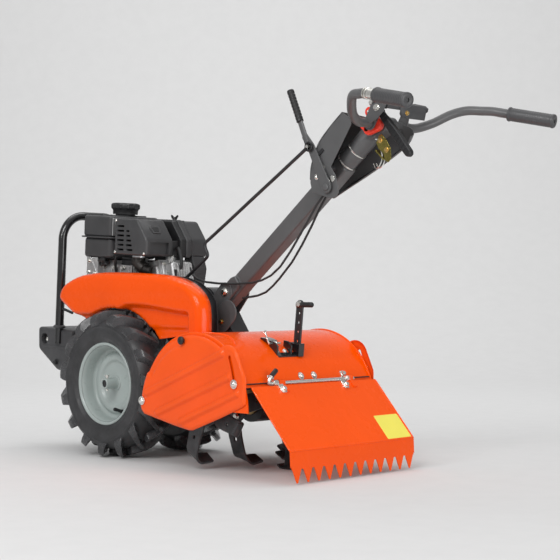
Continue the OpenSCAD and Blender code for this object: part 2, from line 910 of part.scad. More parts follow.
module shift_lever() {
    top = [611, 964];
    neck_p = [663, 843];
    color(grey) place() {
        slab(-71, -66) link2d(shift_p, 15, shift_pin, 11);
        slab(-71, -66) link2d(shift_pin, 11, neck_p, 9);
        rod_y(shift_p, 6 - fit, -66, -50);
        rod_y(shift_p, 12, -76, -71);
        rod_y(shift_pin, 4, -84, -71);
        bar([neck_p[0], -68.5, neck_p[1]], [top[0], -68.5, top[1]], 9);
    }
}

// Hooked rod from the shift lever down to the gear selector
module shift_rod() {
    color(black) place() {
        ring_y(shift_pin, 13, 8, -80, -74);
        sweep([
            [672, -77, 811], [650, -76, 798], [470, -67, 694], [287, -58, 589], [284, -58, 580],
            [294, -57, 556], [286, -56, 545], [187, -50, 486], [152, -50, 465]
        ], 4.5, 12);
    }
}

// Two control cables that the machine holds at both ends
cable_a = [
    [702, -34, 706], [675, -38, 676], [646, -40, 636], [618, -40, 601], [585, -40, 560],
    [549, -40, 522], [515, -40, 499], [482, -40, 487], [450, -40, 481], [419, -40, 479],
    [370, -42, 478], [320, -42, 479], [268, -40, 483], [228, -36, 492], [196, -26, 506],
    [176, -12, 522]
];
cable_b = [
    [690, -22, 694], [666, -22, 662], [641, -21, 624], [606, -20, 576], [571, -20, 533],
    [528, -20, 493], [502, -20, 472], [477, -20, 456], [448, -21, 447], [418, -22, 443],
    [392, -22, 440]
];
module control_cables() {
    color(black) place() {
        sweep(cable_a, 3);
        sweep(cable_b, 3);
    }
}

// ---------- tines ----------
module tine_shaft() {
    color(steel) place() {
        rod_y([tine_x, tine_z], tine_shaft_d / 2, -204, 204);
        rod_y([tine_x, tine_z], 33.5, -7, 7);
    }
}

// One blade: a flat arm that bends sideways at its tip
module blade(turn, y, reach) {
    t = 6;
    translate([tine_x, 0, tine_z]) rotate([0, turn, 0]) {
        slab(y - t / 2, y + t / 2) polygon([
            [44, -20], [62, -24], [118, -8], [tine_r - 8, 10], [tine_r - 8, 46],
            [112, 34], [60, 24], [44, 20]
        ]);
        translate([tine_r - 14, min(y, y + reach), 3]) cube([8, abs(reach), 40]);
    }
}

module tine_set() {
    inner = -94;
    outer = -190;
    difference() {
        union() {
            for (y = [inner, outer]) rod_y([tine_x, tine_z], 52, y - 4, y + 4);
            for (y = [inner, outer]) rod_y([tine_x, tine_z], 21, y - 12, y + 12);
            for (i = [0:3]) {
                blade(84 + i * 90, inner, i % 2 == 0 ? 58 : -52);
                blade(118 + i * 90, outer, i % 2 == 0 ? 60 : -32);
            }
        }
        rod_y([tine_x, tine_z], tine_shaft_d / 2, -300, 0);
    }
}
module tines_left() { color(black) place() tine_set(); }
module tines_right() { color(black) place() mirror([0, 1, 0]) tine_set(); }

case_left();
case_right();
shaft_bushes();
engine_deck();
front_weight();
front_bumper();
belt_cover();
belt_cover_back();
drive_belt();
tine_chain();
crankcase();
cylinder_block();
valve_cover();
fuel_tank();
muffler();
muffler_guard();
air_cleaner_base();
air_cleaner_cover();
air_filter();
carburettor();
blower_housing();
recoil_starter();
spark_plug();
tine_hood();
hood_sides();
hinge_rod();
frame_bolts();
shield_knobs();
stake_bracket();
column();
column_ears();
console();
handle_stem();
control_cables();
axle();
rim_left();
rim_right();
tyre_left();
tyre_right();
hub_pins();
tine_shaft();
tines_left();
tines_right();
engine_pulley();
input_shaft();
driven_pulley();
idler_arm();
flap();
stake();
stake_latch();
shield_left();
shield_right();
handlebar();
grips();
clutch_lever();
drive_bail();
shift_lever();
shift_rod();
fuel_cap();
lock_lever();
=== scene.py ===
"""Looks of a rear-tine tiller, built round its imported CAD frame.

Points are in millimetres. In the MACHINE place x runs back to the operator from the wheel axle,
y to the machine's right, and z up from the ground. Other places, such as ENGINE, have their own
origin and tilt.
"""
import math

import bmesh
import bpy
from mathutils import Matrix, Vector
from mathutils.geometry import delaunay_2d_cdt


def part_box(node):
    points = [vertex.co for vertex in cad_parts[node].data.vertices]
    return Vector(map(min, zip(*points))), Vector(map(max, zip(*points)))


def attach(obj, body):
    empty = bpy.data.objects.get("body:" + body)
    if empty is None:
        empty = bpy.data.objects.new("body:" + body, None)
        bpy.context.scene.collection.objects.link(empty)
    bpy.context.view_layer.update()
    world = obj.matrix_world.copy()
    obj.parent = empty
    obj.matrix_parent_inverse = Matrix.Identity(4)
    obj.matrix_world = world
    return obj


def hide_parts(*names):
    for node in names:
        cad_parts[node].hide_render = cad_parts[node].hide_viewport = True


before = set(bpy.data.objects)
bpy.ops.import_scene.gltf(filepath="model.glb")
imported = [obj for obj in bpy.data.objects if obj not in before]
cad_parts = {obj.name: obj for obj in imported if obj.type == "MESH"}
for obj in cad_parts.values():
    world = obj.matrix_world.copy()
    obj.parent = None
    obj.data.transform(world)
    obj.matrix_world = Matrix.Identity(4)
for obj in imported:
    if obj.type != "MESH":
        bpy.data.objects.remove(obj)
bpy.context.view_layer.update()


# ---------- places ----------
def middle(node):
    """The middle of a CAD node's box, in metres."""
    low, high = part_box(node)
    return (Vector(low) + Vector(high)) / 2


def turn(degrees):
    """Rotation about y that leans the x axis down for a positive angle."""
    return Matrix.Rotation(math.radians(degrees), 4, "Y")


def shift(x, y, z):
    """A move."""
    return Matrix.Translation((x, y, z))


HINGE_X, HINGE_Z = 629, 232  # the flap's hinge line
FLAP_SLOPE = 48  # degrees below level at rest
STAKE_X = 536.2  # the stake's foot
ENGINE_TILT = 3.5  # the engine and the hoop both lean forward

axle = middle("axle")
AXLE_Z = axle.z * 1000
MACHINE = shift(axle.x, 0, 0) @ Matrix.Scale(0.001, 4)
ENGINE = MACHINE @ shift(-75, 0, 473) @ turn(ENGINE_TILT)
CYLINDER = ENGINE @ shift(0, 0, -10) @ turn(-15)
COLUMN = MACHINE @ shift(318, 0, 441) @ turn(-38.66)
BUMPER = MACHINE @ shift(-288, 0, 345) @ turn(ENGINE_TILT)
STAKE_FOOT = MACHINE @ shift(STAKE_X, 0, 0)
STAKE = STAKE_FOOT @ turn(6)
FLAP = MACHINE @ shift(HINGE_X, 0, HINGE_Z) @ turn(FLAP_SLOPE)
MIRROR = Matrix.Scale(-1, 4, (0, 1, 0))


# ---------- materials ----------
def shader(name, colour, rough=0.5, metal=0.0, **sockets):
    """A Principled material with its node tree and its shader node."""
    made = bpy.data.materials.new(name)
    made.use_nodes = True
    bsdf = made.node_tree.nodes["Principled BSDF"]
    bsdf.inputs["Base Color"].default_value = (*colour, 1)
    bsdf.inputs["Roughness"].default_value = rough
    bsdf.inputs["Metallic"].default_value = metal
    for socket, value in sockets.items():
        bsdf.inputs[socket.replace("_", " ")].default_value = value
    return made, made.node_tree, bsdf


def noise(tree, scale, detail=4.0, stretch=(1, 1, 1), roughness=0.55):
    """Noise in object space, scale in cells to the metre."""
    coords = tree.nodes.new("ShaderNodeTexCoord")
    mapping = tree.nodes.new("ShaderNodeMapping")
    mapping.inputs["Scale"].default_value = stretch
    texture = tree.nodes.new("ShaderNodeTexNoise")
    texture.inputs["Scale"].default_value = scale
    texture.inputs["Detail"].default_value = detail
    texture.inputs["Roughness"].default_value = roughness
    tree.links.new(coords.outputs["Object"], mapping.inputs["Vector"])
    tree.links.new(mapping.outputs["Vector"], texture.inputs["Vector"])
    return texture.outputs["Fac"]


def ranged(tree, value, low, high, start=0.35, end=0.65):
    """Maps a noise value to the range low to high."""
    node = tree.nodes.new("ShaderNodeMapRange")
    node.inputs["From Min"].default_value = start
    node.inputs["From Max"].default_value = end
    node.inputs["To Min"].default_value = low
    node.inputs["To Max"].default_value = high
    tree.links.new(value, node.inputs["Value"])
    return node.outputs["Result"]


def mixed(tree, value, colour_a, colour_b):
    """A colour between two, by a value from 0 to 1."""
    node = tree.nodes.new("ShaderNodeMix")
    node.data_type = "RGBA"
    node.inputs["A"].default_value = (*colour_a, 1)
    node.inputs["B"].default_value = (*colour_b, 1)
    tree.links.new(value, node.inputs["Factor"])
    return node.outputs["Result"]


def bump(tree, bsdf, value, strength, distance):
    """Lets a value raise the surface by up to distance, in metres."""
    node = tree.nodes.new("ShaderNodeBump")
    node.inputs["Strength"].default_value = strength
    node.inputs["Distance"].default_value = distance
    tree.links.new(value, node.inputs["Height"])
    tree.links.new(node.outputs["Normal"], bsdf.inputs["Normal"])


def finish(name, colour, rough, metal=0.0, spread=0.08, shade=0.12, grain=900, depth=0.0002,
           strength=0.25, patch=14, stretch=(1, 1, 1), **sockets):
    """A surface whose colour and roughness drift in patches and whose grain shows as bump."""
    made, tree, bsdf = shader(name, colour, rough, metal, **sockets)
    patches = noise(tree, patch, 5)
    darker = tuple(c * (1 - shade) for c in colour)
    lighter = tuple(min(1, c * (1 + shade)) for c in colour)
    tint = mixed(tree, ranged(tree, patches, 0, 1), darker, lighter)
    tree.links.new(tint, bsdf.inputs["Base Color"])
    fine = noise(tree, grain, 3, stretch)
    blend = ranged(tree, noise(tree, patch * 3, 6, stretch), rough - spread, rough + spread)
    tree.links.new(blend, bsdf.inputs["Roughness"])
    bump(tree, bsdf, fine, strength, depth)
    return made


def gloss(name, colour, rough=0.28, shade=0.025):
    """Powder-coated sheet: a clear gloss over a faint orange peel."""
    return finish(name, colour, rough, spread=0.05, shade=shade, grain=420, depth=0.00008,
                  strength=0.12, patch=6, Coat_Weight=0.3, Coat_Roughness=0.05,
                  Specular_IOR_Level=0.1)


ORANGE = gloss("orange_paint", (0.95, 0.09, 0.0))
SHIELD = gloss("shield_paint", (0.93, 0.1, 0.01), 0.36, 0.05)
GREY = finish("grey_paint", (0.094, 0.094, 0.096), 0.36, grain=700, strength=0.06, shade=0.06)
DARK_GREY = finish("dark_grey_paint", (0.055, 0.055, 0.058), 0.42, grain=800, strength=0.2)
SATIN_BLACK = finish("black_paint", (0.018, 0.018, 0.02), 0.36, grain=700, strength=0.12)
GLOSS_BLACK = finish("gloss_black_paint", (0.012, 0.012, 0.013), 0.2, spread=0.05, grain=500,
                     depth=0.0001, strength=0.1, Coat_Weight=0.5, Coat_Roughness=0.06)
CASTING = finish("cast_dark", (0.05, 0.05, 0.053), 0.5, grain=520, depth=0.0004, strength=0.35)
PLASTIC = finish("dark_plastic", (0.046, 0.046, 0.048), 0.36, spread=0.06, grain=1500, strength=0.3)
BLACK_PLASTIC = finish("black_plastic", (0.014, 0.014, 0.015), 0.42, grain=1500, strength=0.25)
GRIP = finish("grip_rubber", (0.06, 0.06, 0.063), 0.42, grain=1300, strength=0.15)
RUBBER = finish("rubber", (0.02, 0.02, 0.021), 0.62, grain=1100, strength=0.35)
TYRE = finish("tyre_rubber", (0.03, 0.03, 0.032), 0.42, spread=0.1, shade=0.25, grain=600,
              depth=0.0003, strength=0.2, patch=24)
TREAD = finish("tread_rubber", (0.05, 0.05, 0.053), 0.27, spread=0.08, shade=0.2, grain=600,
               depth=0.0002, strength=0.1, patch=24)
RIM = finish("rim_paint", (0.38, 0.43, 0.415), 0.32, spread=0.06, shade=0.05, grain=500,
             strength=0.1, patch=8)
STEEL = finish("steel", (0.5, 0.5, 0.51), 0.32, 1.0, shade=0.15, grain=500, stretch=(1, 12, 1))
ZINC = finish("zinc", (0.82, 0.81, 0.77), 0.26, 1.0, shade=0.06, grain=300, strength=0.03)
YELLOW_ZINC = finish("yellow_zinc", (0.26, 0.22, 0.06), 0.26, 0.9, shade=0.25, patch=30)
BRASS = finish("brass", (0.75, 0.52, 0.2), 0.26, 1.0, patch=40)
BRONZE = finish("bronze", (0.45, 0.3, 0.14), 0.42, 1.0, patch=40)
ALLOY = finish("cast_alloy", (0.56, 0.56, 0.56), 0.46, 0.9, spread=0.1, shade=0.2, grain=650,
               depth=0.0004, strength=0.4, patch=30)
BURNT = finish("burnt_steel", (0.035, 0.032, 0.03), 0.45, 0.6, shade=0.4, patch=30)
RED = finish("red_plastic", (0.85, 0.045, 0.022), 0.34, spread=0.05, shade=0.06, grain=900)
LABEL = finish("label_pad", (0.9, 0.8, 0.12), 0.4, shade=0.03)
FOAM = finish("foam", (0.5, 0.42, 0.2), 0.95, grain=900, depth=0.001, strength=0.8)
CERAMIC = finish("ceramic", (0.75, 0.75, 0.7), 0.22, shade=0.04)
BLADE = finish("blade_steel", (0.06, 0.06, 0.063), 0.4, 0.4, shade=0.3, grain=400, depth=0.0004,
               strength=0.3, patch=26)


# ---------- mesh building ----------
def outward(mesh):
    """Turns every face of a closed mesh outwards."""
    work = bmesh.new()
    work.from_mesh(mesh)
    bmesh.ops.recalc_face_normals(work, faces=work.faces)
    work.to_mesh(mesh)
    work.free()


def shade_smooth(mesh, sharp):
    """Shades a mesh smooth but for edges sharper than sharp degrees."""
    mesh.polygons.foreach_set("use_smooth", [True] * len(mesh.polygons))
    mesh.set_sharp_from_angle(angle=math.radians(sharp))


def piece(name, verts, faces, place, material, body, stands_for=(), sharp=38, slot=None):
    """A closed mesh from points in its place, riding a body and standing for its CAD nodes."""
    mesh = bpy.data.meshes.new(name)
    mesh.from_pydata([place @ Vector(v) for v in verts], [], faces)
    outward(mesh)
    mesh.materials.append(material)
    shade_smooth(mesh, sharp)
    made = bpy.data.objects.new(name, mesh)
    bpy.context.scene.collection.objects.link(made)
    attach(made, body)
    if stands_for:
        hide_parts(*stands_for)
    return made


def bevel(made, width, segments=3, angle=30):
    """Rounds the sharp edges of a piece, width in millimetres."""
    modifier = made.modifiers.new("bevel", "BEVEL")
    modifier.width = width * 0.001
    modifier.segments = segments
    modifier.limit_method = "ANGLE"
    modifier.angle_limit = math.radians(angle)
    modifier.harden_normals = True
    return made


def cut(made, cutters):
    """Cuts the cutter meshes out of a piece, and deletes them."""
    for tool in cutters:
        modifier = made.modifiers.new("cut", "BOOLEAN")
        modifier.operation = "DIFFERENCE"
        modifier.object = tool
        modifier.solver = "EXACT"
    bpy.context.view_layer.update()
    graph = bpy.context.evaluated_depsgraph_get()
    solid = bpy.data.meshes.new_from_object(made.evaluated_get(graph))
    shade_smooth(solid, 32)
    made.modifiers.clear()
    made.data = solid
    for tool in cutters:
        bpy.data.objects.remove(tool)
    return made


def cutter(verts, faces, place):
    """A mesh that only cuts."""
    mesh = bpy.data.meshes.new("cutter")
    mesh.from_pydata([place @ Vector(v) for v in verts], [], faces)
    outward(mesh)
    made = bpy.data.objects.new("cutter", mesh)
    bpy.context.scene.collection.objects.link(made)
    return made


def prism_mesh(outline, low, high, upright=False):
    """An outline in x and z drawn out along y, or if upright, one in x and y drawn out along z."""
    n = len(outline)
    verts = [(a, w, b) for w in (low, high) for a, b in outline]
    if upright:
        verts = [(x, y, z) for x, z, y in verts]
    sides = [(i, (i + 1) % n, (i + 1) % n + n, i + n) for i in range(n)]
    return verts, [tuple(range(n)), tuple(range(n, 2 * n))] + sides


def rounded(x0, y0, x1, y1, r):
    """Outline of a rectangle with round corners."""
    corners = (((x1 - r, y1 - r), 0), ((x0 + r, y1 - r), 90), ((x0 + r, y0 + r), 180),
               ((x1 - r, y0 + r), 270))
    return [p for centre, start in corners for p in arc(centre, r, start, start + 90, 5)]


def plate(name, outline, z0, z1, place, material, body, edge=2.0, segments=3, **more):
    """An outline in x and y drawn up along z, with rounded edges."""
    verts, faces = prism_mesh(outline, z0, z1, True)
    return bevel(piece(name, verts, faces, place, material, body, **more), edge, segments)


def prism(name, outline, y0, y1, place, material, body, edge=2.0, segments=3, **more):
    """An outline in x and z drawn out along y, with rounded edges."""
    verts, faces = prism_mesh(outline, y0, y1)
    return bevel(piece(name, verts, faces, place, material, body, **more), edge, segments)


def block(name, low, high, place, material, body, edge=2.0, segments=3, **more):
    """A box between two corners, with rounded edges."""
    outline = [(low[0], low[2]), (high[0], low[2]), (high[0], high[2]), (low[0], high[2])]
    return prism(name, outline, low[1], high[1], place, material, body, edge, segments, **more)


def arc(centre, radius, start, end, n=12):
    """Points of an arc, with angles in degrees."""
    angles = [math.radians(start + (end - start) * i / n) for i in range(n + 1)]
    return [(centre[0] + radius * math.cos(a), centre[1] + radius * math.sin(a)) for a in angles]


def link(a, ra, b, rb, n=14):
    """Outline round two discs joined by their tangents."""
    along = math.degrees(math.atan2(b[1] - a[1], b[0] - a[0]))
    opening = math.degrees(math.acos((ra - rb) / math.dist(a, b)))
    return arc(a, ra, along + opening, along + 360 - opening, n) + arc(
        b, rb, along - opening, along + opening, n)


def lathe_mesh(profile, segments=64, ring=False):
    """Points and faces of (radius, height) pairs turned about z; a ring has no end caps."""
    verts = []
    for radius, height in profile:
        for i in range(segments):
            a = 2 * math.pi * i / segments
            verts.append((radius * math.cos(a), radius * math.sin(a), height))
    faces = []
    for j in range(len(profile) - 1):
        for i in range(segments):
            k = (i + 1) % segments
            faces.append((j * segments + i, j * segments + k, (j + 1) * segments + k,
                          (j + 1) * segments + i))
    last = (len(profile) - 1) * segments
    if ring:
        faces += [(last + i, last + (i + 1) % segments, (i + 1) % segments, i)
                  for i in range(segments)]
    else:
        faces.append(tuple(range(segments - 1, -1, -1)))
        faces.append(tuple(last + i for i in range(segments)))
    return verts, faces


def facing(origin, direction):
    """A place whose z axis runs from origin along direction."""
    rotation = Vector(direction).to_track_quat("Z", "Y").to_matrix().to_4x4()
    return Matrix.Translation(origin) @ rotation


def lathe(name, profile, origin, direction, place, material, body, segments=48, sharp=38, **more):
    """A capped profile turned about the line from origin along direction."""
    verts, faces = lathe_mesh(profile, segments)
    where = place @ facing(origin, direction)
    return piece(name, verts, faces, where, material, body, sharp=sharp, **more)


def closed_lathe(name, profile, place, material, body, segments=96, **more):
    """A ring whose profile returns to its first point."""
    verts, faces = lathe_mesh(profile, segments, True)
    return piece(name, verts, faces, place, material, body, **more)


def disc(name, origin, direction, radius, height, place, material, body, edge=0.8, segments=32,
         **more):
    """A round bar or disc with rounded rims, from origin along direction."""
    e = min(edge, radius / 3, height / 3)
    profile = [(radius - e, 0), (radius - e * 0.3, e * 0.3), (radius, e), (radius, height - e),
               (radius - e * 0.3, height - e * 0.3), (radius - e, height)]
    return lathe(name, profile, origin, direction, place, material, body, segments, **more)


def smooth_path(points, steps=6):
    """Points of a smooth curve through the given points."""
    p = [Vector(q) for q in points]
    path = []
    for i in range(len(p) - 1):
        a, b, c, d = p[max(i - 1, 0)], p[i], p[i + 1], p[min(i + 2, len(p) - 1)]
        for k in range(steps):
            t = k / steps
            path.append(b + (c - a) * t / 2 + (2 * a - 5 * b + 4 * c - d) * t * t / 2
                        + (3 * b - a - 3 * c + d) * t ** 3 / 2)
    return path + [p[-1]]


def tube_mesh(path, radii, sides=16, squash=1.0, up=(0, 0, 1)):
    """Points and faces of a tube along a path, with one radius or one for each point."""
    if not hasattr(radii, "__len__"):
        radii = [radii] * len(path)
    verts = []
    side = None
    for i, point in enumerate(path):
        along = (path[min(i + 1, len(path) - 1)] - path[max(i - 1, 0)]).normalized()
        if side is None:
            side = along.cross(Vector(up)).normalized()
        side = (side - along * side.dot(along)).normalized()
        over = side.cross(along)
        for k in range(sides):
            a = 2 * math.pi * k / sides
            verts.append(point + side * math.cos(a) * radii[i]
                         + over * math.sin(a) * radii[i] * squash)
    n = sides
    faces = [tuple(range(n)), tuple((len(path) - 1) * n + k for k in range(n - 1, -1, -1))]
    for i in range(len(path) - 1):
        for k in range(n):
            m = (k + 1) % n
            faces.append((i * n + k, (i + 1) * n + k, (i + 1) * n + m, i * n + m))
    return verts, faces


def tube(name, points, radius, place, material, body, sides=16, steps=6, squash=1.0, up=(0, 0, 1),
         **more):
    """A tube through points, on a smooth curve or, with no steps, on straight lines."""
    path = smooth_path(points, steps) if steps else [Vector(p) for p in points]
    verts, faces = tube_mesh(path, radius, sides, squash, up)
    return piece(name, verts, faces, place, material, body, **more)


def edge_distance(x, z, line):
    """Distance from a point to a chain of straight lines."""
    best = 1e9
    for (ax, az), (bx, bz) in zip(line, line[1:]):
        ux, uz = bx - ax, bz - az
        t = ((x - ax) * ux + (z - az) * uz) / (ux * ux + uz * uz)
        t = min(1, max(0, t))
        best = min(best, math.hypot(x - ax - t * ux, z - az - t * uz))
    return best


def inside(x, z, outline):
    """Whether a point lies within an outline."""
    within = False
    for (ax, az), (bx, bz) in zip(outline, outline[1:] + outline[:1]):
        if (az > z) != (bz > z) and x < (bx - ax) * (z - az) / (bz - az) + ax:
            within = not within
    return within


def ease(value, low, high):
    """0 below low, 1 above high, and smooth between."""
    t = min(1, max(0, (value - low) / (high - low)))
    return t * t * (3 - 2 * t)


def round_over(distance, radius):
    """How far a rounded edge has dropped, at a distance in from that edge."""
    if distance >= radius:
        return 0.0
    return radius - math.sqrt(max(0.0, radius * radius - (radius - distance) ** 2))


def resample(outline, step):
    """The outline with its long edges split."""
    points = []
    for (ax, az), (bx, bz) in zip(outline, outline[1:] + outline[:1]):
        n = max(1, round(math.dist((ax, az), (bx, bz)) / step))
        points += [(ax + (bx - ax) * i / n, az + (bz - az) * i / n) for i in range(n)]
    return points


def relief(name, outline, front, back, step, place, material, body, holes=(), sharp=50, sheet=0,
           **more):
    """A closed plate in x and z whose front and back faces lie at y = front(x, z) and back(x, z).

    With a sheet thickness it has no back: it is a pressed cover whose walls reach to back(x, z).
    """
    loops = [resample(outline, step)] + [list(h) for h in holes]
    points = []
    edges = []
    for loop in loops:
        first = len(points)
        points += loop
        edges += [(first + i, first + (i + 1) % len(loop)) for i in range(len(loop))]
    xs = [p[0] for p in outline]
    zs = [p[1] for p in outline]
    rows = int((max(zs) - min(zs)) / step) + 1
    columns = int((max(xs) - min(xs)) / step) + 1
    for j in range(rows + 1):
        for i in range(columns + 1):
            x = min(xs) + (i + 0.5 * (j % 2)) * step
            z = min(zs) + j * step
            if not inside(x, z, outline) or any(inside(x, z, list(h)) for h in holes):
                continue
            if all(edge_distance(x, z, loop + loop[:1]) > step * 0.45 for loop in loops):
                points.append((x, z))
    flat, _, faces, _, _, _ = delaunay_2d_cdt([Vector(p) for p in points], edges, [], 1, 1e-4)
    faces = [f for f in faces if not any(
        inside(sum(flat[k].x for k in f) / 3, sum(flat[k].y for k in f) / 3, list(h))
        for h in holes)]
    n = len(flat)
    verts = [(p.x, front(p.x, p.y), p.y) for p in flat]
    verts += [(p.x, back(p.x, p.y), p.y) for p in flat]
    directed = {(f[i], f[(i + 1) % 3]) for f in faces for i in range(3)}
    walls = [(b, a, a + n, b + n) for a, b in directed if (b, a) not in directed]
    if not sheet:
        both = list(faces) + [tuple(k + n for k in reversed(f)) for f in faces] + walls
        return piece(name, verts, both, place, material, body, sharp=sharp, **more)
    used = sorted({k for face in list(faces) + walls for k in face})
    number = {k: i for i, k in enumerate(used)}
    kept = [tuple(number[k] for k in face) for face in list(faces) + walls]
    made = piece(name, [verts[k] for k in used], kept, place, material, body, sharp=sharp, **more)
    return thicken(made, sheet)


def bolt(name, origin, direction, size, place, body, material=None, dome=False, washer=True):
    """A bolt head, hexagonal or domed, on its washer."""
    r = size / 2
    m = material or ZINC
    if washer:
        disc(name + "_washer", origin, direction, r * 1.35, r * 0.22, place, m, body, 0.4)
    base = Vector(origin) + Vector(direction).normalized() * (r * 0.2)
    if dome:
        profile = [(r * math.cos(a), r * 0.75 * math.sin(a)) for a in
                   [math.radians(15 * i) for i in range(6)]] + [(0.01, r * 0.75)]
        lathe(name, profile, base, direction, place, m, body, 20)
        return
    profile = [(r, 0), (r, r * 0.75), (r * 0.86, r * 0.95)]
    lathe(name, profile, base, direction, place, m, body, 6, sharp=20)


def thicken(made, thickness):
    """Gives an open sheet its thickness in millimetres."""
    modifier = made.modifiers.new("thickness", "SOLIDIFY")
    modifier.thickness = thickness * 0.001
    modifier.offset = 0
    return made


def shell(name, grid, thickness, place, material, body, **more):
    """A sheet through a grid of points."""
    rows, columns = len(grid), len(grid[0])
    verts = [p for row in grid for p in row]
    faces = [(k, k + 1, k + columns + 1, k + columns) for j in range(rows - 1)
             for k in range(j * columns, (j + 1) * columns - 1)]
    return thicken(piece(name, verts, faces, place, material, body, **more), thickness)


def paint_nodes(material, *nodes):
    """Gives CAD nodes that stay in view their material."""
    for node in nodes:
        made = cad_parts[node]
        made.data.materials.clear()
        made.data.materials.append(material)


# ---------- CAD nodes that stay in view ----------
# The axle gets black paint so its ends read as dark holes in the hubs: painted shade.
paint_nodes(SATIN_BLACK, "axle", "belt_cover_back", "engine_deck", "case_left", "case_right")
paint_nodes(STEEL, "tine_shaft", "input_shaft", "engine_pulley", "tine_chain")
paint_nodes(ZINC, "hub_pins", "idler_arm", "frame_bolts")
paint_nodes(RUBBER, "drive_belt", "control_cables")
paint_nodes(ORANGE, "tine_hood", "hood_sides", "flap")
paint_nodes(ALLOY, "crankcase", "cylinder_block")
paint_nodes(DARK_GREY, "driven_pulley")
paint_nodes(BRONZE, "shaft_bushes")
paint_nodes(CERAMIC, "spark_plug")
paint_nodes(FOAM, "air_filter")


# ---------- wheels ----------
LUGS = 15  # tread bars on each half of a tyre
WHEEL_Y = 124.5  # the tyre's centre plane
GAP_R = 210  # the belt cover's arch over the wheel


def wheel_place(side):
    """Place whose z axis runs outwards along the axle from the tyre's centre plane."""
    return MACHINE @ facing((0, side * WHEEL_Y, AXLE_Z), (0, side, 0))


def lug_mesh(start, half):
    """One tread bar that runs from the crown out over the shoulder; half is its side, -1 or 1."""
    top = [(203, -8), (203, 12), (202.5, 28), (200, 42), (194, 53), (184, 59), (172, 60)]
    base = [(180, -8), (180, 12), (176, 28), (170, 38), (164, 44), (158, 48), (154, 50)]
    lead = [0, 4, 8, 12, 15.5, 17.5, 18]
    width = [9, 9, 10, 12, 15, 16.5, 16.5]
    verts, faces = [], []
    for (rt, ht), (rb, hb), angle, w in zip(top, base, lead, width):
        corners = ((rb, hb, -1.25), (rt, ht, -0.8), (rt, ht, 0.8), (rb, hb, 1.25))
        for radius, height, across in corners:
            a = math.radians(start + angle) + across * w / radius
            verts.append((radius * math.cos(a), radius * math.sin(a), half * height))
    for i in range(len(top) - 1):
        for k in range(4):
            m = (k + 1) % 4
            faces.append((i * 4 + k, i * 4 + m, i * 4 + 4 + m, i * 4 + 4 + k))
    last = 4 * (len(top) - 1)
    faces += [(3, 2, 1, 0), (last, last + 1, last + 2, last + 3)]
    return verts, faces


def tyre(side, name):
    place = wheel_place(side)
    flank = [(112, 45.5), (117, 49), (124, 52.5), (127, 55), (130, 55.2), (134, 56), (146, 57.3),
             (155, 56.8), (157, 57.6), (160, 56.6), (167, 52), (174, 44), (180, 32), (183.5, 15)]
    hollow = [(175, 0), (150, 46), (115, 42), (104, 44)]
    profile = flank + [(184, 0)] + [(r, -h) for r, h in reversed(flank)]
    profile += [(r, -h) for r, h in reversed(hollow[1:])] + hollow
    closed_lathe(name + "_carcass", profile, place, TYRE, "wheels", 96, stands_for=(name,),
                 slot="tyre")
    verts, faces = [], []
    for half in (-1, 1):
        for i in range(LUGS):
            v, f = lug_mesh((i + (half + 1) / 4) * 360 / LUGS * -side, half)
            faces += [tuple(k + len(verts) for k in face) for face in f]
            verts += v
    lugs = piece(name + "_lugs", verts, faces, place, TREAD, "wheels", sharp=30, slot="tyre")
    bevel(lugs, 2.2, 2)


def rim(side, name):
    place = wheel_place(side)
    face = [(113, 44.5), (114, 47), (112.5, 49), (109, 49), (106.5, 47), (104, 43), (101, 38),
            (99.5, 30), (98.5, 12), (97, 6), (93, 3), (88.5, 2.5), (85.5, 4), (83, 7.5), (80, 10),
            (76, 11), (67, 11), (63.5, 9.5), (60.5, 6), (57, 3.5), (52, 2.8), (34, 3.5), (24, 5),
            (19.5, 7.5), (17, 11), (16, 16), (15.4, 22), (15, 26), (15, 48), (14, 49.5),
            (11.5, 49.5), (10.2, 48), (10.2, 45)]
    back = [(10.2, -30), (15, -30), (15, 1), (55, -0.5), (64, 6), (76, 7), (86, -2), (97, -3),
            (98.5, -34), (104, -43), (109, -49), (113, -48), (113, -45), (106, -43), (101.5, -36),
            (101.5, 0), (101.5, 36), (106, 43)]
    closed_lathe(name + "_pressing", face + back, place, RIM, "wheels", 96, stands_for=(name,),
                 sharp=60)
    stem = place.inverted() @ (MACHINE @ Vector((33, side * 130, AXLE_Z - 79)))
    foot = Vector((stem.x, stem.y, 4))
    profile = [(7.5, 0), (7.5, 5), (6, 8), (4.6, 12), (4.4, 24), (5, 25), (5, 33), (4, 34.5)]
    lathe(name + "_valve", profile, foot, (foot.x * -0.004, foot.y * -0.004, 1), place,
          BLACK_PLASTIC, "wheels", 20)
    weld = [(16.5, 5), (20.5, 6.5), (20.5, 9), (16, 11), (15.2, 8)]
    closed_lathe(name + "_weld", weld, place, RIM, "wheels", 40)


for wheel_side, wheel in ((-1, "left"), (1, "right")):
    tyre(wheel_side, "tyre_" + wheel)
    rim(wheel_side, "rim_" + wheel)


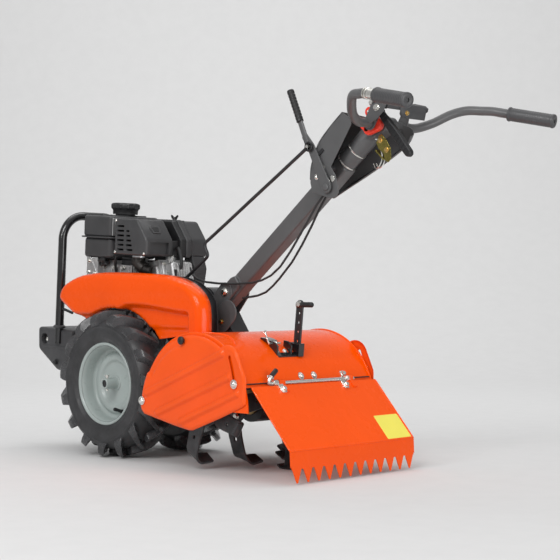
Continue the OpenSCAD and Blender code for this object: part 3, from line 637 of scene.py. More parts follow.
# ---------- front end ----------
def front_weight():
    half = 110
    nose = [(-390, 353), (-228, 344), (-228, 246), (-262, 226), (-300, 226), (-384, 283),
            (-390, 291)]
    body = prism("weight_nose", nose, -half, half, MACHINE, CASTING, "chassis", 13, 5,
                 stands_for=("front_weight",), slot="weight_paint")
    hole = cutter(*prism_mesh(arc((-356, 318), 16, 0, 360, 39)[:-1], -130, 130), MACHINE)
    cut(body, [hole])
    tail = [(-240, 341), (-150, 336), (-150, 262), (-225, 252), (-240, 246)]
    prism("weight_tail", tail, -50, 50, MACHINE, CASTING, "chassis", 6)
    for side in (-1, 1):
        out = (0, side, 0)
        disc("weight_bush", (-356, side * (half - 18), 318), out, 15.5, 6, MACHINE, BLACK_PLASTIC,
             "chassis")
        bolt("weight_bolt", (-352, side * (half - 12), 316), out, 17, MACHINE, "chassis", dome=True)
        bolt("weight_plug", (-300, side * half, 250), out, 13, MACHINE, "chassis", SATIN_BLACK)
        rib = [(-372, 300), (-240, 296), (-240, 288), (-366, 290)]
        prism("weight_rib", rib, side * half - 1.5, side * half + 1.5, MACHINE, CASTING, "chassis",
              1.2)


def bumper_hoop():
    bend, half, top = 70, 108, 334
    left = [(0, -half, -40), (0, -half, top - bend - 20)]
    corner = [(0, -half + bend - bend * math.cos(a), top - bend + bend * math.sin(a))
              for a in [math.radians(7.5 * i) for i in range(13)]]
    side = left + corner
    path = side + [(x, -y, z) for x, y, z in reversed(side)]
    tube("bumper_hoop", path, 12.5, BUMPER, GLOSS_BLACK, "chassis", 24, 0, up=(1, 0, 0),
         stands_for=("front_bumper",), slot="black_paint")
    for y in (-half, half):
        collar = [(15.5, -3), (18, 0), (18, 3), (14, 6)]
        lathe("bumper_collar", collar, (0, y, 8), (0, 0, 1), BUMPER, CASTING, "chassis", 32)
        tube("bumper_stay", [(0, y, 62), (20, y * 0.97, 60), (46, y * 0.9, 52)], 4, BUMPER,
             SATIN_BLACK, "chassis")


front_weight()
bumper_hoop()


# ---------- belt cover ----------
def belt_cover():
    top = smooth_path([(x, 0, z) for x, z in (
        (-131, 367), (-170, 391), (-205, 412), (-233, 431), (-237, 446), (-226, 465), (-203, 482),
        (-146, 501), (-47, 509), (83, 507), (200, 501), (255, 493), (304, 478), (340, 455),
        (361, 428), (367, 396))], 5)
    crest = [(p.x, p.z) for p in top] + [(367, 352)]
    arch = arc((0, AXLE_Z), GAP_R, 37.1, 128.4, 24)[1:-1]
    outline = crest + [(167.5, 329.6)] + arch
    outer = crest[1:]

    def panel_edge(x):
        """Height of the raised panel's lower edge."""
        return 398 + 28 * ease(x, -20, 75) - 19 * ease(x, 90, 330)

    def front(x, z):
        radius = 16 + 8 * ease(x, 290, 360)
        drop = round_over(edge_distance(x, z, outer), radius)
        drop += round_over(abs(math.hypot(x, z - AXLE_Z) - GAP_R), 4)
        below = panel_edge(x) - z
        pocket = 22 * ease(below, 0, 12) + 7 * ease(363 - z, 0, 7)
        pocket *= 1 - ease(x, 302, 322)
        swell = 2.5 * ease(z, 425, 470) * (1 - ease(z, 470, 505))
        return -149 + drop + pocket - swell

    relief("belt_cover_shell", outline, front, lambda x, z: -112, 5, MACHINE, ORANGE, "chassis",
           stands_for=("belt_cover",), slot="orange_paint", sharp=62, sheet=2.5)
    inset = [(x + (70 - x) * 0.013, z + (430 - z) * 0.035) for x, z in outline]
    relief("belt_cover_skirt", inset, lambda x, z: -113, lambda x, z: -89, 40, MACHINE, SATIN_BLACK,
           "chassis", sharp=62, sheet=2)


belt_cover()


# ---------- engine ----------
def box_outline(d=0.0):
    """Side outline shared by the muffler guard and the air cleaner, grown by d."""
    return [(46 - d, 92 - d), (46 - d, 192 + d), (140 + d / 2, 192 + d), (183 + d, 138 + d / 3),
            (183 + d, 92 - d)]


def fuel_tank():
    plate("tank_lower", rounded(-141, -85, -11, 93, 20), 76, 135, ENGINE, PLASTIC, "chassis", 10, 4,
          stands_for=("fuel_tank",), slot="dark_plastic")
    plate("tank_upper", rounded(-144, -88, -8, 96, 20), 136, 198, ENGINE, PLASTIC, "chassis", 9, 4)
    plate("tank_seam", rounded(-150, -94, -2, 102, 24), 133.5, 138, ENGINE, PLASTIC, "chassis", 1.5)
    plate("tank_saddle", rounded(-92, -60, -34, 70, 14), 196, 201.5, ENGINE, PLASTIC, "chassis", 2)
    neck = [(31, 0), (31, 3), (28, 5), (27, 9), (27, 14)]
    lathe("tank_neck", neck, (-61, 5, 198), (0, 0, 1), ENGINE, BLACK_PLASTIC, "chassis")
    # A thin bright alloy strip on the tank's rear corner edge: a painted highlight along that edge.
    plate("tank_highlight_strip", rounded(-7.5, -86, -4, -62, 1.5), 142, 192, ENGINE, ALLOY, "chassis",
          1)


def fuel_cap():
    profile = [(29, 0), (36, 0), (36.5, 12), (39, 15), (40.5, 18), (40.5, 28), (38, 31.5), (30, 33),
               (29, 31.5), (12, 31.5), (0.01, 31.8)]
    verts, faces = lathe_mesh(profile, 144)
    ribbed = []
    for x, y, z in verts:
        radius = math.hypot(x, y)
        grip = 0.045 * max(0, math.cos(12 * math.atan2(y, x))) if 15 < z < 30 and radius > 35 else 0
        ribbed.append((x * (1 + grip), y * (1 + grip), z))
    piece("fuel_cap_moulding", ribbed, faces, ENGINE @ shift(-61, 5, 204), BLACK_PLASTIC,
          "fuel_cap", stands_for=("fuel_cap",), slot="black_plastic")


def muffler_and_guard():
    guard = prism("muffler_guard_shell", box_outline(), -120, -22, ENGINE, PLASTIC, "chassis", 6, 4,
                  stands_for=("muffler_guard",), slot="dark_plastic")
    slots = [(58, 87, 103 + i * 13, 5.5) for i in range(6)]
    slots += [(97, 126 - i * 4, 103 + i * 13, 5.5) for i in range(5)]
    cutters = [cutter(*prism_mesh(rounded(x0, z0, x1, z0 + h, 2), -130, -96), ENGINE)
               for x0, x1, z0, h in slots]
    cutters.append(cutter(*prism_mesh([(176, 98), (176, 130), (190, 130), (190, 98)], -104, -38),
                          ENGINE))
    cut(guard, cutters)
    pad = ENGINE @ facing((162, -71, 165), (0.782, 0, 0.623))
    ring = [(-14, 12), (14, 12), (19, 4), (13, -14), (-13, -14), (-19, 4)]
    plate("guard_badge_pad", ring, -1, 2.2, pad, PLASTIC, "chassis", 1.5)
    plate("guard_badge_core", [(x * 0.6, y * 0.6) for x, y in ring], 1, 3.4, pad, BLACK_PLASTIC,
          "chassis", 1)
    tube("exhaust_elbow", [(104, -72, 112), (100, -74, 88), (104, -74, 68), (122, -68, 54),
                           (140, -62, 50)], [16] * 6 + [19] * 6 + [18] * 6 + [13] * 6 + [11],
         ENGINE, BURNT, "chassis", 24, stands_for=("muffler",), slot="burnt_steel")
    lathe("exhaust_clamp", [(18, 0), (20, 2), (20, 6), (18, 8)], (102, -74, 84), (0, 0, 1), ENGINE,
          STEEL, "chassis")
    for x, z in ((52, 98), (176, 98), (52, 186)):
        bolt("guard_screw", (x, -120, z), (0, -1, 0), 8, ENGINE, "chassis", dome=True, washer=False)


def air_cleaner():
    prism("air_cleaner_back", box_outline(-1), 8, 30, ENGINE, BLACK_PLASTIC, "chassis", 4,
          stands_for=("air_cleaner_base",), slot="black_plastic")
    prism("air_cleaner_shell", box_outline(), 30, 108, ENGINE, PLASTIC, "chassis", 8, 4,
          stands_for=("air_cleaner_cover",), slot="dark_plastic")
    prism("air_cleaner_band", box_outline(2.6), 27, 43, ENGINE, PLASTIC, "chassis", 3.5)
    prism("air_cleaner_lip", box_outline(1.2), 50, 54, ENGINE, PLASTIC, "chassis", 1)
    prism("air_cleaner_duct", [(152, 12), (150, 94), (184, 94), (197, 60), (190, 12)], 50, 98,
          ENGINE, PLASTIC, "chassis", 4)
    for z in (30, 46, 62):
        block("duct_rib", (188, 54, z), (196, 94, z + 3), ENGINE, PLASTIC, "chassis", 1)
    lathe("wing_nut_hub", [(6, 0), (6, 4), (4.5, 10), (3, 11)], (92, 60, 192), (0, 0, 1), ENGINE,
          BLACK_PLASTIC, "chassis", 20)
    for side in (-1, 1):
        wing = [(0, 3), (side * 6, 12), (side * 13, 16), (side * 15, 12), (side * 8, 2), (0, 0)]
        prism("wing_nut_wing", [(92 + x, 193 + z) for x, z in wing], 58, 62, ENGINE, BLACK_PLASTIC,
              "chassis", 1)


def fuel_system():
    block("carburettor_body", (138, -16, 92), (172, 8, 136), ENGINE, BLACK_PLASTIC, "chassis", 3,
          stands_for=("carburettor",), slot="alloy")
    disc("carburettor_throat", (156, -16, 124), (0, -1, 0), 13, 5, ENGINE, ALLOY, "chassis")
    disc("carburettor_bowl", (155, -5, 92), (0, 0, -1), 14, 20, ENGINE, ALLOY, "chassis", 3)
    bolt("bowl_nut", (155, -5, 72), (0, 0, -1), 11, ENGINE, "chassis", BRASS)
    tube("fuel_line", [(-20, -40, 80), (30, -30, 78), (90, -24, 84), (138, -14, 100)], 3.2, ENGINE,
         RUBBER, "chassis", 10)
    tube("governor_rod", [(150, -22, 140), (166, -26, 118), (178, -30, 84), (184, -30, 40)], 1.3,
         ENGINE, ZINC, "chassis", 8)
    tube("breather_hose", [(196, -10, 40), (206, -8, 74), (190, -2, 104), (176, 4, 116)], 5, ENGINE,
         RUBBER, "chassis", 14)
    tube("ignition_lead", [(150, 92, -48), (120, 100, -20), (80, 104, 20), (60, 100, 66)], 3.2,
         ENGINE, RUBBER, "chassis", 10)
    block("throttle_bracket", (176, -34, 26), (214, -30, 58), ENGINE, SATIN_BLACK, "chassis", 1)
    block("throttle_plate", (178, -30, 24), (212, 20, 27), ENGINE, SATIN_BLACK, "chassis", 1)
    for x, z in ((184, 50), (206, 34)):
        bolt("throttle_screw", (x, -34, z), (0, -1, 0), 8, ENGINE, "chassis")
    spring = [(190 + 3.2 * math.cos(i * 0.9), -28 + 3.2 * math.sin(i * 0.9), 60 + i * 0.7)
              for i in range(50)]
    tube("governor_spring", spring, 0.7, ENGINE, ZINC, "chassis", 6, 0)


def engine_castings():
    bracket = [(-114, 22), (-60, 22), (-72, 40), (-100, 78), (-116, 78)]
    for y in (-87, 60):
        prism("tank_bracket", bracket, y, y + 5, ENGINE, ALLOY, "chassis", 1.5)
    for x, z in ((-104, 34), (-78, 30), (-104, 66)):
        bolt("tank_bracket_bolt", (x, -87, z), (0, -1, 0), 10, ENGINE, "chassis")
    for x in (-66, -30, 10, 46):
        block("crankcase_rib", (x, -66, -60), (x + 4, -60, 56), ENGINE, ALLOY, "chassis", 1.2)
    block("tank_tray", (-128, -40, 58), (44, 62, 76), ENGINE, SATIN_BLACK, "chassis", 4)
    block("carburettor_duct", (58, 18, 60), (150, 50, 96), ENGINE, SATIN_BLACK, "chassis", 5)
    for i in range(5):
        x = 62 + i * 9
        block("manifold_rib", (x, -60, 40), (x + 3, -40, 84), ENGINE, ALLOY, "chassis", 1)
    tube("dipstick", [(-8, -64, 40), (-4, -72, 62), (2, -74, 84)], 4, ENGINE, BLACK_PLASTIC,
         "chassis", 12)
    for x in (-62, -20, 22):
        bolt("crankcase_bolt", (x, -64, 52), (0, -1, 0), 10, ENGINE, "chassis")
    lathe("oil_filler", [(13, 0), (13, 6), (10, 9), (10, 14), (15, 15), (15, 22), (11, 24)],
          (-50, -70, 58), (-0.3, -0.5, 1), ENGINE, BLACK_PLASTIC, "chassis", 24)
    block("valve_cover_flange", (172, -44, -42), (182, 44, 42), CYLINDER, ALLOY, "chassis", 3,
          stands_for=("valve_cover",), slot="alloy")
    block("valve_cover_dome", (180, -38, -36), (216, 38, 36), CYLINDER, ALLOY, "chassis", 9, 4)
    for i in range(7):
        y = -32 + i * 10
        block("valve_cover_rib", (184, y, -30), (219, y + 3.5, 30), CYLINDER, ALLOY, "chassis", 1.4)
    for y, z in ((-38, -36), (38, -36), (-38, 36), (38, 36)):
        bolt("valve_cover_bolt", (182, y, z), (1, 0, 0), 9, CYLINDER, "chassis")
    block("head_side", (132, -56, -30), (170, -46, 34), CYLINDER, ALLOY, "chassis", 5)
    tube("spark_plug_cap", [(152, 84, 0), (152, 102, 2), (150, 106, 14)], 9, CYLINDER, RUBBER,
         "chassis", 16)


def starter():
    prism("blower_shroud", link((0, 0), 70, (92, 18), 38), 58, 104, ENGINE, SATIN_BLACK, "chassis",
          9, 4, stands_for=("blower_housing",), slot="black_paint")
    profile = [(66, 0), (66, 8), (61, 16), (46, 21), (24, 22.5), (20, 20), (0.01, 20)]
    lathe("recoil_cup", profile, (0, 103, 0), (0, 1, 0), ENGINE, BLACK_PLASTIC, "chassis", 64,
          stands_for=("recoil_starter",), slot="black_plastic")
    for i in range(16):
        a = math.radians(i * 22.5)
        c, s = math.cos(a), math.sin(a)
        tube("recoil_rib", [(26 * c, 125, 26 * s), (56 * c, 120, 56 * s)], 2, ENGINE, BLACK_PLASTIC,
             "chassis", 8, 0)
    tube("pull_rope", [(-52, 112, 42), (-66, 112, 54)], 2, ENGINE, RUBBER, "chassis", 8, 0)
    tube("pull_handle", [(-78, 112, 40), (-72, 112, 52), (-58, 112, 68)], 6.5, ENGINE,
         BLACK_PLASTIC, "chassis", 14)


for build in (fuel_tank, fuel_cap, muffler_and_guard, air_cleaner, fuel_system, engine_castings,
              starter):
    build()


# ---------- hood, shields and flap ----------
HOOD_X, HOOD_Z = 437, 161  # the hood's centre line
SHIELD_X, SHIELD_Z = 432, 150  # the centre of the side shields' round edge


def hood_point(degrees, radius, y):
    """A point at an angle and radius round the hood's centre line."""
    a = math.radians(degrees)
    return (HOOD_X + radius * math.cos(a), y, HOOD_Z + radius * math.sin(a))


def sided(side):
    """The machine's place, mirrored for its right side."""
    return MACHINE if side < 0 else MACHINE @ MIRROR


def side_shield(side, label):
    pivot, rear = (244, 174), (589, 232)
    outline = [(236, 150), (246, 140), (367, 116), (420, 108), (434, 109), (534, 145), (612, 176),
               (623, 184)]
    outline += arc((590, 240), 34, 0, 25.2, 4) + arc((560, 285), 42, 25.2, 126, 10)
    outline += arc((SHIELD_X, SHIELD_Z), 198, 58.6, 174, 40) + [(233, 160)]

    def arc_slot(point, sweep, half):
        radius = math.dist(pivot, point)
        start = math.degrees(math.atan2(point[1] - pivot[1], point[0] - pivot[0]))
        end = start + sweep
        tip = (pivot[0] + radius * math.cos(math.radians(end)),
               pivot[1] + radius * math.sin(math.radians(end)))
        return (arc(pivot, radius + half, start, end, 6) + arc(tip, half, end, end + 180, 6)[1:-1]
                + arc(pivot, radius - half, end, start, 6)
                + arc(point, half, start + 180, start + 360, 6)[1:-1])

    rim_line = outline + outline[:1]
    ribs = (((262, 195), (544, 305), 9), ((304, 147), (568, 248), 9), ((392, 128), (598, 209), 8))
    holes = [arc_slot(rear, 11, 5.2), arc_slot((400, 334), 5, 5.2)]

    def raised(x, z):
        height = 0.0
        for a, b, half in ribs:
            d = edge_distance(x, z, [a, b])
            height = max(height, 7 * (1 - ease(d, half - 2.5, half + 1)))
        if 102 < math.degrees(math.atan2(z - SHIELD_Z, x - SHIELD_X)) < 150:
            height -= 5 * ease(math.hypot(x - SHIELD_X, z - SHIELD_Z), 174, 178)
        return height - 4 * (1 - ease(edge_distance(x, z, rim_line), 0, 6))

    def front(x, z):
        return -242 - raised(x, z)

    place = sided(side)
    relief("shield_" + label + "_panel", outline, front, lambda x, z: front(x, z) + 2.2, 4, place,
           SHIELD, "shield_" + label, holes=holes, stands_for=("shield_" + label,), sharp=70,
           slot="red_orange_paint")
    for x, z in (pivot, rear):
        bolt("shield_bolt", (x, -243.5, z), (0, -1, 0), 17, place, "chassis", dome=True)
    profile = [(5, -10), (5, 0), (9, 0.5), (10.5, 2.5), (10.5, 7), (8.5, 9), (5, 10), (4, 8.5)]
    stands = ("shield_knobs",) if side < 0 else ()
    lathe("shield_knob", profile, (400, -243, 334), (0, -1, 0), place, BLACK_PLASTIC, "chassis", 24,
          stands_for=stands, slot="black_plastic")


def hood_trim():
    for y in (-232, 232):
        path = [hood_point(19 + i * 3, 191.5, y) for i in range(48)]
        tube("hood_edge_roll", path, 3.4, MACHINE, ORANGE, "chassis", 12, 0, up=(0, 1, 0))
    curve = [hood_point(92 - i * 2.6, 192.3, -196 + 26 * math.sin(math.radians(i * 13)))
             for i in range(14)]
    tube("hood_seam", curve, 1.6, MACHINE, ORANGE, "chassis", 8)
    tab = arc((HOOD_X, HOOD_Z), 193, 118, 100, 9) + arc((HOOD_X, HOOD_Z), 190.5, 100, 118, 9)
    prism("hood_tab", tab, -214, -176, MACHINE, ORANGE, "chassis", 0.8, 2)
    # A thin black strip along the hood's rear lip: a painted shadow for the dark gap line between
    # hood and flap.
    block("hood_gap_shadow_strip", (616, -227, 230.5), (619.5, 227, 233.5), MACHINE, BLACK_PLASTIC,
          "chassis", 1)
    bolts_at = 25.6
    out = Vector(hood_point(bolts_at, 1, 0)) - Vector((HOOD_X, 0, HOOD_Z))
    for y in (-29, 19):
        bolt("hood_bolt", hood_point(bolts_at, 192, y), out, 15, MACHINE, "chassis", dome=True)


def flap_details():
    plate("blank_label", rounded(126, 131, 201, 223, 3), 1, 1.7, FLAP, LABEL, "flap", 0.3)
    for y in (-228.5, 228.5):
        tube("flap_side_roll", [(12, y, 0), (200, y, 0)], 2.6, FLAP, ORANGE, "flap", 10, 0)
    fold_x = HINGE_X + 204 * math.cos(math.radians(FLAP_SLOPE))
    fold_z = HINGE_Z - 204 * math.sin(math.radians(FLAP_SLOPE))
    tube("flap_fold", [(fold_x, -229, fold_z), (fold_x, 229, fold_z)], 2.4, MACHINE, ORANGE,
         "flap", 12, 0)
    gullet = 46  # height of the gaps between the teeth
    lean = 0.052  # how far the toothed strip leans back, to each unit down
    web = [(fold_x + (fold_z - z) * lean + t, z) for z, t in (
        (gullet + 4, -0.9), (gullet - 9, -0.9), (gullet - 9, 0.9), (gullet + 4, 0.9))]
    prism("flap_tooth_web", web, -227, 227, MACHINE, ORANGE, "flap", 0.2, 1)
    for y in (-130, 100):
        plate("flap_leaf", rounded(4, y - 9, 33, y + 9, 4), 1, 4.2, FLAP, ZINC, "flap", 0.8, 2)
        bolt("flap_hinge_bolt", (24, y, 4.2), (0, 0, 1), 13, FLAP, "flap")


def hinge():
    tube("hinge_bar", [(HINGE_X, -158, HINGE_Z), (HINGE_X, 150, HINGE_Z)], 4.2, MACHINE, ZINC,
         "chassis", 16, 0, stands_for=("hinge_rod",), slot="zinc")
    tube("hinge_bar_end", [(HINGE_X, -157, HINGE_Z), (629, -163, 234), (630, -162, 243),
                           (632, -148, 257)], 4.2, MACHINE, ZINC, "chassis", 14)
    lathe("hinge_bar_sleeve", [(4.2, 0), (6.3, 1), (6.3, 20), (5, 22), (0.01, 22.2)],
          (631, -156, 250), (0.1, 0.72, 0.7), MACHINE, BLACK_PLASTIC, "chassis", 20)
    hood = (HOOD_X, HOOD_Z)
    leaf = arc(hood, 195, 19.5, 27.5, 4) + arc(hood, 192, 27.5, 19.5, 4)
    for y in (-141, 127):
        lathe("hinge_knuckle", [(6, -9), (8, -8), (8, 6), (6, 7)], (HINGE_X, y, HINGE_Z), (0, 1, 0),
              MACHINE, ZINC, "chassis", 28)
        prism("hinge_leaf", leaf, y - 9, y + 7, MACHINE, ZINC, "chassis", 0.8, 2)
        bolt("hinge_bolt", hood_point(25, 195, y - 1), (0.906, 0, 0.423), 13, MACHINE, "chassis")


for shield_side, shield_name in ((-1, "left"), (1, "right")):
    side_shield(shield_side, shield_name)
hood_trim()
flap_details()
hinge()


# ---------- depth stake ----------
def stake():
    high = 438.4  # the bar's top
    bar = [(-11, 3), (11, 3), (11, high - 10)] + arc((0, high - 11), 11, 0, 180, 10)[1:]
    made = prism("stake_bar", bar, -3, 3, STAKE, SATIN_BLACK, "stake", 0.8, 2,
                 stands_for=("stake",), slot="black_paint")
    holes = [cutter(*prism_mesh(arc((0, high - 34 - i * 24), 4.2, 0, 360, 20)[:-1], -9, 9), STAKE)
             for i in range(7)]
    cut(made, holes)
    skid = [(-27, 12), (-27, 6), (-20, 1), (-10, 0), (26, 0), (37, 3), (42, 10), (40, 12),
            (34, 6.5), (26, 5), (-10, 5), (-19, 6.5), (-24, 12)]
    prism("stake_skid", skid, -12, 12, STAKE_FOOT, SATIN_BLACK, "stake", 1)
    prism("stake_weld", [(-14, 4), (14, 4), (12.5, 9), (-12.5, 9)], -5.5, 5.5, STAKE, SATIN_BLACK,
          "stake", 2)
    bolt("stake_top_bolt", (0, -3, high - 11), (0, -1, 0), 13, STAKE, "stake")
    bolt("stake_back_bolt", (0, 3, high - 11), (0, 1, 0), 15, STAKE, "stake")
    handle = [(6, 11), (7.5, 12), (7.5, 17), (6.3, 18.5), (6.3, 21)]
    for ring in range(7):
        z = 23 + ring * 4.2
        handle += [(6.3, z - 1.4), (7, z - 0.6), (7, z + 1.2), (6.3, z + 2)]
    handle += [(6, 51), (4.5, 52.5)]
    lathe("stake_handle", handle, (572, 0, 424), (1, 0, 0), MACHINE, BLACK_PLASTIC, "stake", 24)
    disc("stake_handle_lug", (572, 0, 424), (1, 0, 0), 9, 12, MACHINE, SATIN_BLACK, "stake", 2)


def stake_bracket():
    block("bracket_front", (-18, -10, 296), (-12, 10, 328), STAKE, GLOSS_BLACK, "chassis", 1.5,
          stands_for=("stake_bracket",), slot="black_paint")
    block("bracket_rear", (12, -10, 294), (17, 10, 328), STAKE, GLOSS_BLACK, "chassis", 1.5)
    for y in (-10, 4):
        block("bracket_cheek", (-17, y, 294), (16, y + 6, 327), STAKE, GLOSS_BLACK, "chassis", 1.5)
    ramp = [(545, 306), (552, 304), (574, 295), (576, 320), (563, 331), (548, 333)]
    for y in (-78, -28):
        prism("bracket_lug", ramp, y, y + 5, MACHINE, GLOSS_BLACK, "chassis", 1.5)
    base = [(545, 310), (577, 289), (580, 294), (546, 316)]
    prism("bracket_base", base, -76, -8, MACHINE, GLOSS_BLACK, "chassis", 1.2)
    tongue = [(548, 324), (548, 333), (530, 339), (516, 341), (514, 337), (530, 330)]
    prism("bracket_tongue", tongue, -79, -50, MACHINE, GLOSS_BLACK, "chassis", 1.2)
    for y in (-66, -38):
        bolt("bracket_bolt", (561, y, 306), (0.5, 0, 0.86), 12, MACHINE, "chassis", dome=True)


def stake_latch():
    tube("latch_pin", [(551, -44, 326), (551, -84, 326)], 3, MACHINE, ZINC, "stake_latch", 12, 0,
         stands_for=("stake_latch",), slot="zinc")
    tube("latch_handle", [(551, -81, 326), (551, -85, 328), (548, -86, 336), (540, -86, 354),
                          (538, -83, 358)], 2.4, MACHINE, ZINC, "stake_latch", 12)
    coil = [(551 + 5.4 * math.cos(i * 0.7), -76 + i * 0.34, 326 + 5.4 * math.sin(i * 0.7))
            for i in range(54)]
    tube("latch_spring", coil, 0.9, MACHINE, ZINC, "stake_latch", 6, 0)


# ---------- column and console ----------
def column():
    prism("column_tube", [(-14, -26), (540, -26), (540, 20), (-14, 20)], -21, 21, COLUMN, GREY,
          "chassis", 6, 4, stands_for=("column",), slot="grey_paint")
    prism("column_foot", [(-4, -20), (60, -20), (76, -14), (76, 14), (60, 20), (-4, 20)], -30, 30,
          COLUMN, GREY, "chassis", 4, 3)
    for side in (-1, 1):
        y = side * 30
        ear = link((276, 392), 30, (336, 456), 26, 20)
        prism("column_ear", ear, min(y, y + side * 4), max(y, y + side * 4), MACHINE, GREY,
              "chassis", 1.2, stands_for=("column_ears",) if side < 0 else (), slot="grey_paint")
        for x, z, metal in ((280, 398, BRASS), (336, 456, ZINC)):
            bolt("column_bolt", (x, y + side * 4, z), (0, side, 0), 17, MACHINE, "chassis", metal)
    prism("column_toe", [(-62, -25), (-8, -25), (-8, 19), (-62, 19)], -20.5, 20.5, COLUMN, GREY,
          "chassis", 6, 4)
    prism("column_clamp", link((326, 380), 33, (350, 402), 33, 24), -39, -34.5, MACHINE, GREY,
          "chassis", 1.5)
    bolt("column_clamp_bolt", (330, -39, 377), (0, -1, 0), 11, MACHINE, "chassis", BRASS)
    weld = [(74, -21.5, -18), (78, -21.5, 0), (74, -21.5, 15)]
    tube("column_weld", weld, 2.4, COLUMN, GREY, "chassis", 8)


def stem():
    ring = [(25.4, 0), (27.5, 1.5), (27.5, 3.5), (25.5, 5)]
    profile = [(22, -1), (26, 0), (26, 113), (25, 115), (21, 115)]
    lathe("stem_tube", profile, (540, 0, 0), (1, 0, 0), COLUMN, GREY, "chassis", 64,
          stands_for=("handle_stem",), slot="grey_paint")
    for x in (541, 584, 650):
        where = COLUMN @ facing((x, 0, 0), (1, 0, 0))
        closed_lathe("stem_ring", ring, where, ZINC, "chassis", 64)
    saddle = link((836, 850), 22, (868, 862), 20, 18)
    prism("stem_saddle", saddle, -24, 24, MACHINE, GREY, "chassis", 3)
    prism("stem_lock_lug", link((846, 893), 8, (836, 866), 12, 12), -24, -10, MACHINE, GREY,
          "chassis", 1.5)
    disc("lock_pin", (846, -42, 893), (0, 1, 0), 4, 32, MACHINE, ZINC, "chassis")


def console():
    left = [(680, 706), (741, 686), (760, 690), (768, 700), (766, 716), (757, 745), (742, 765),
            (810, 864), (806, 880), (782, 894), (742, 864), (706, 827), (686, 790), (676, 755),
            (674, 728)]
    prism("console_left_plate", left, -62, -59.5, MACHINE, GREY, "chassis", 1, 2,
          stands_for=("console",), slot="grey_paint")
    rows = []
    crest = smooth_path([(676, 0, 736), (678, 0, 764), (688, 0, 794), (706, 0, 827), (742, 0, 862),
                         (780, 0, 893)], 4)
    for p in crest:
        inward = Vector((788 - p.x, 0, 736 - p.z)).normalized()
        rows.append([p + inward * (5 * t * t - 2.5 * (1 - t)) + Vector((0, 116 * t - 62, 0))
                     for t in (0, 0.04, 0.1, 0.25, 0.5, 0.75, 0.9, 0.96, 1)])
    shell("console_cowl", rows, 2, MACHINE, GREY, "chassis")
    right = [(660, 704), (684, 714), (708, 729), (790, 766), (868, 806), (900, 828), (912, 842),
             (910, 852), (900, 858), (866, 872), (828, 880), (782, 894), (742, 864), (706, 827),
             (674, 788), (660, 762), (656, 730)]
    prism("console_right_cheek", right, 51, 53.5, MACHINE, GREY, "chassis", 1, 2)
    skirt = smooth_path([(x, 0, z) for x, z in ((658, 706), (708, 729), (790, 766), (868, 806),
                                                (900, 828), (911, 846))], 4)
    rows = [[(p.x + 3 * math.sin(t), 53 - 16 * (1 - math.cos(t)), p.z - 11 * math.sin(t))
             for t in (0, 0.4, 0.8, 1.2, 1.57)] for p in skirt]
    shell("console_skirt", rows, 2, MACHINE, GREY, "chassis")
    for x, z in ((696, 742), (716, 764)):
        for y0, y1 in ((-59, -15), (15, 51)):
            disc("console_spacer", (x, y0, z), (0, 1, 0), 8, y1 - y0, MACHINE, DARK_GREY, "chassis")
        bolt("console_bolt", (x, -62, z), (0, -1, 0), 11, MACHINE, "chassis", dome=True)
    disc("console_pivot_bolt", (749, -62, 735), (0, -1, 0), 8, 3, MACHINE, ZINC, "chassis")
    gate = [(700, 800), (716, 812), (722, 806), (706, 793)]
    prism("shift_gate", gate, -66, -62, MACHINE, SATIN_BLACK, "chassis", 1)
    bracket = [(871, 834), (880, 838), (895, 822), (908, 801), (909, 776), (901, 768), (890, 772),
               (886, 790), (870, 802), (862, 818)]
    prism("cable_bracket", bracket, -31, -28.5, MACHINE, YELLOW_ZINC, "chassis", 1, 2)
    flange = [(858, 798), (884, 774), (887, 777), (861, 802)]
    prism("cable_bracket_flange", flange, -31, -8, MACHINE, YELLOW_ZINC, "chassis", 1, 2)
    for x, z in ((876, 822), (896, 798)):
        bolt("cable_bracket_bolt", (x, -31, z), (0, -1, 0), 10, MACHINE, "chassis", BRASS)
    for x, y in ((874, -26), (882, -24)):
        wire = [(x, y, 800), (x + 6, y - 3, 780), (x, y - 5, 762), (x - 16, y, 756),
                (x - 26, y + 3, 768)]
        tube("bail_wire", wire, 1.5, MACHINE, ZINC, "chassis", 8)


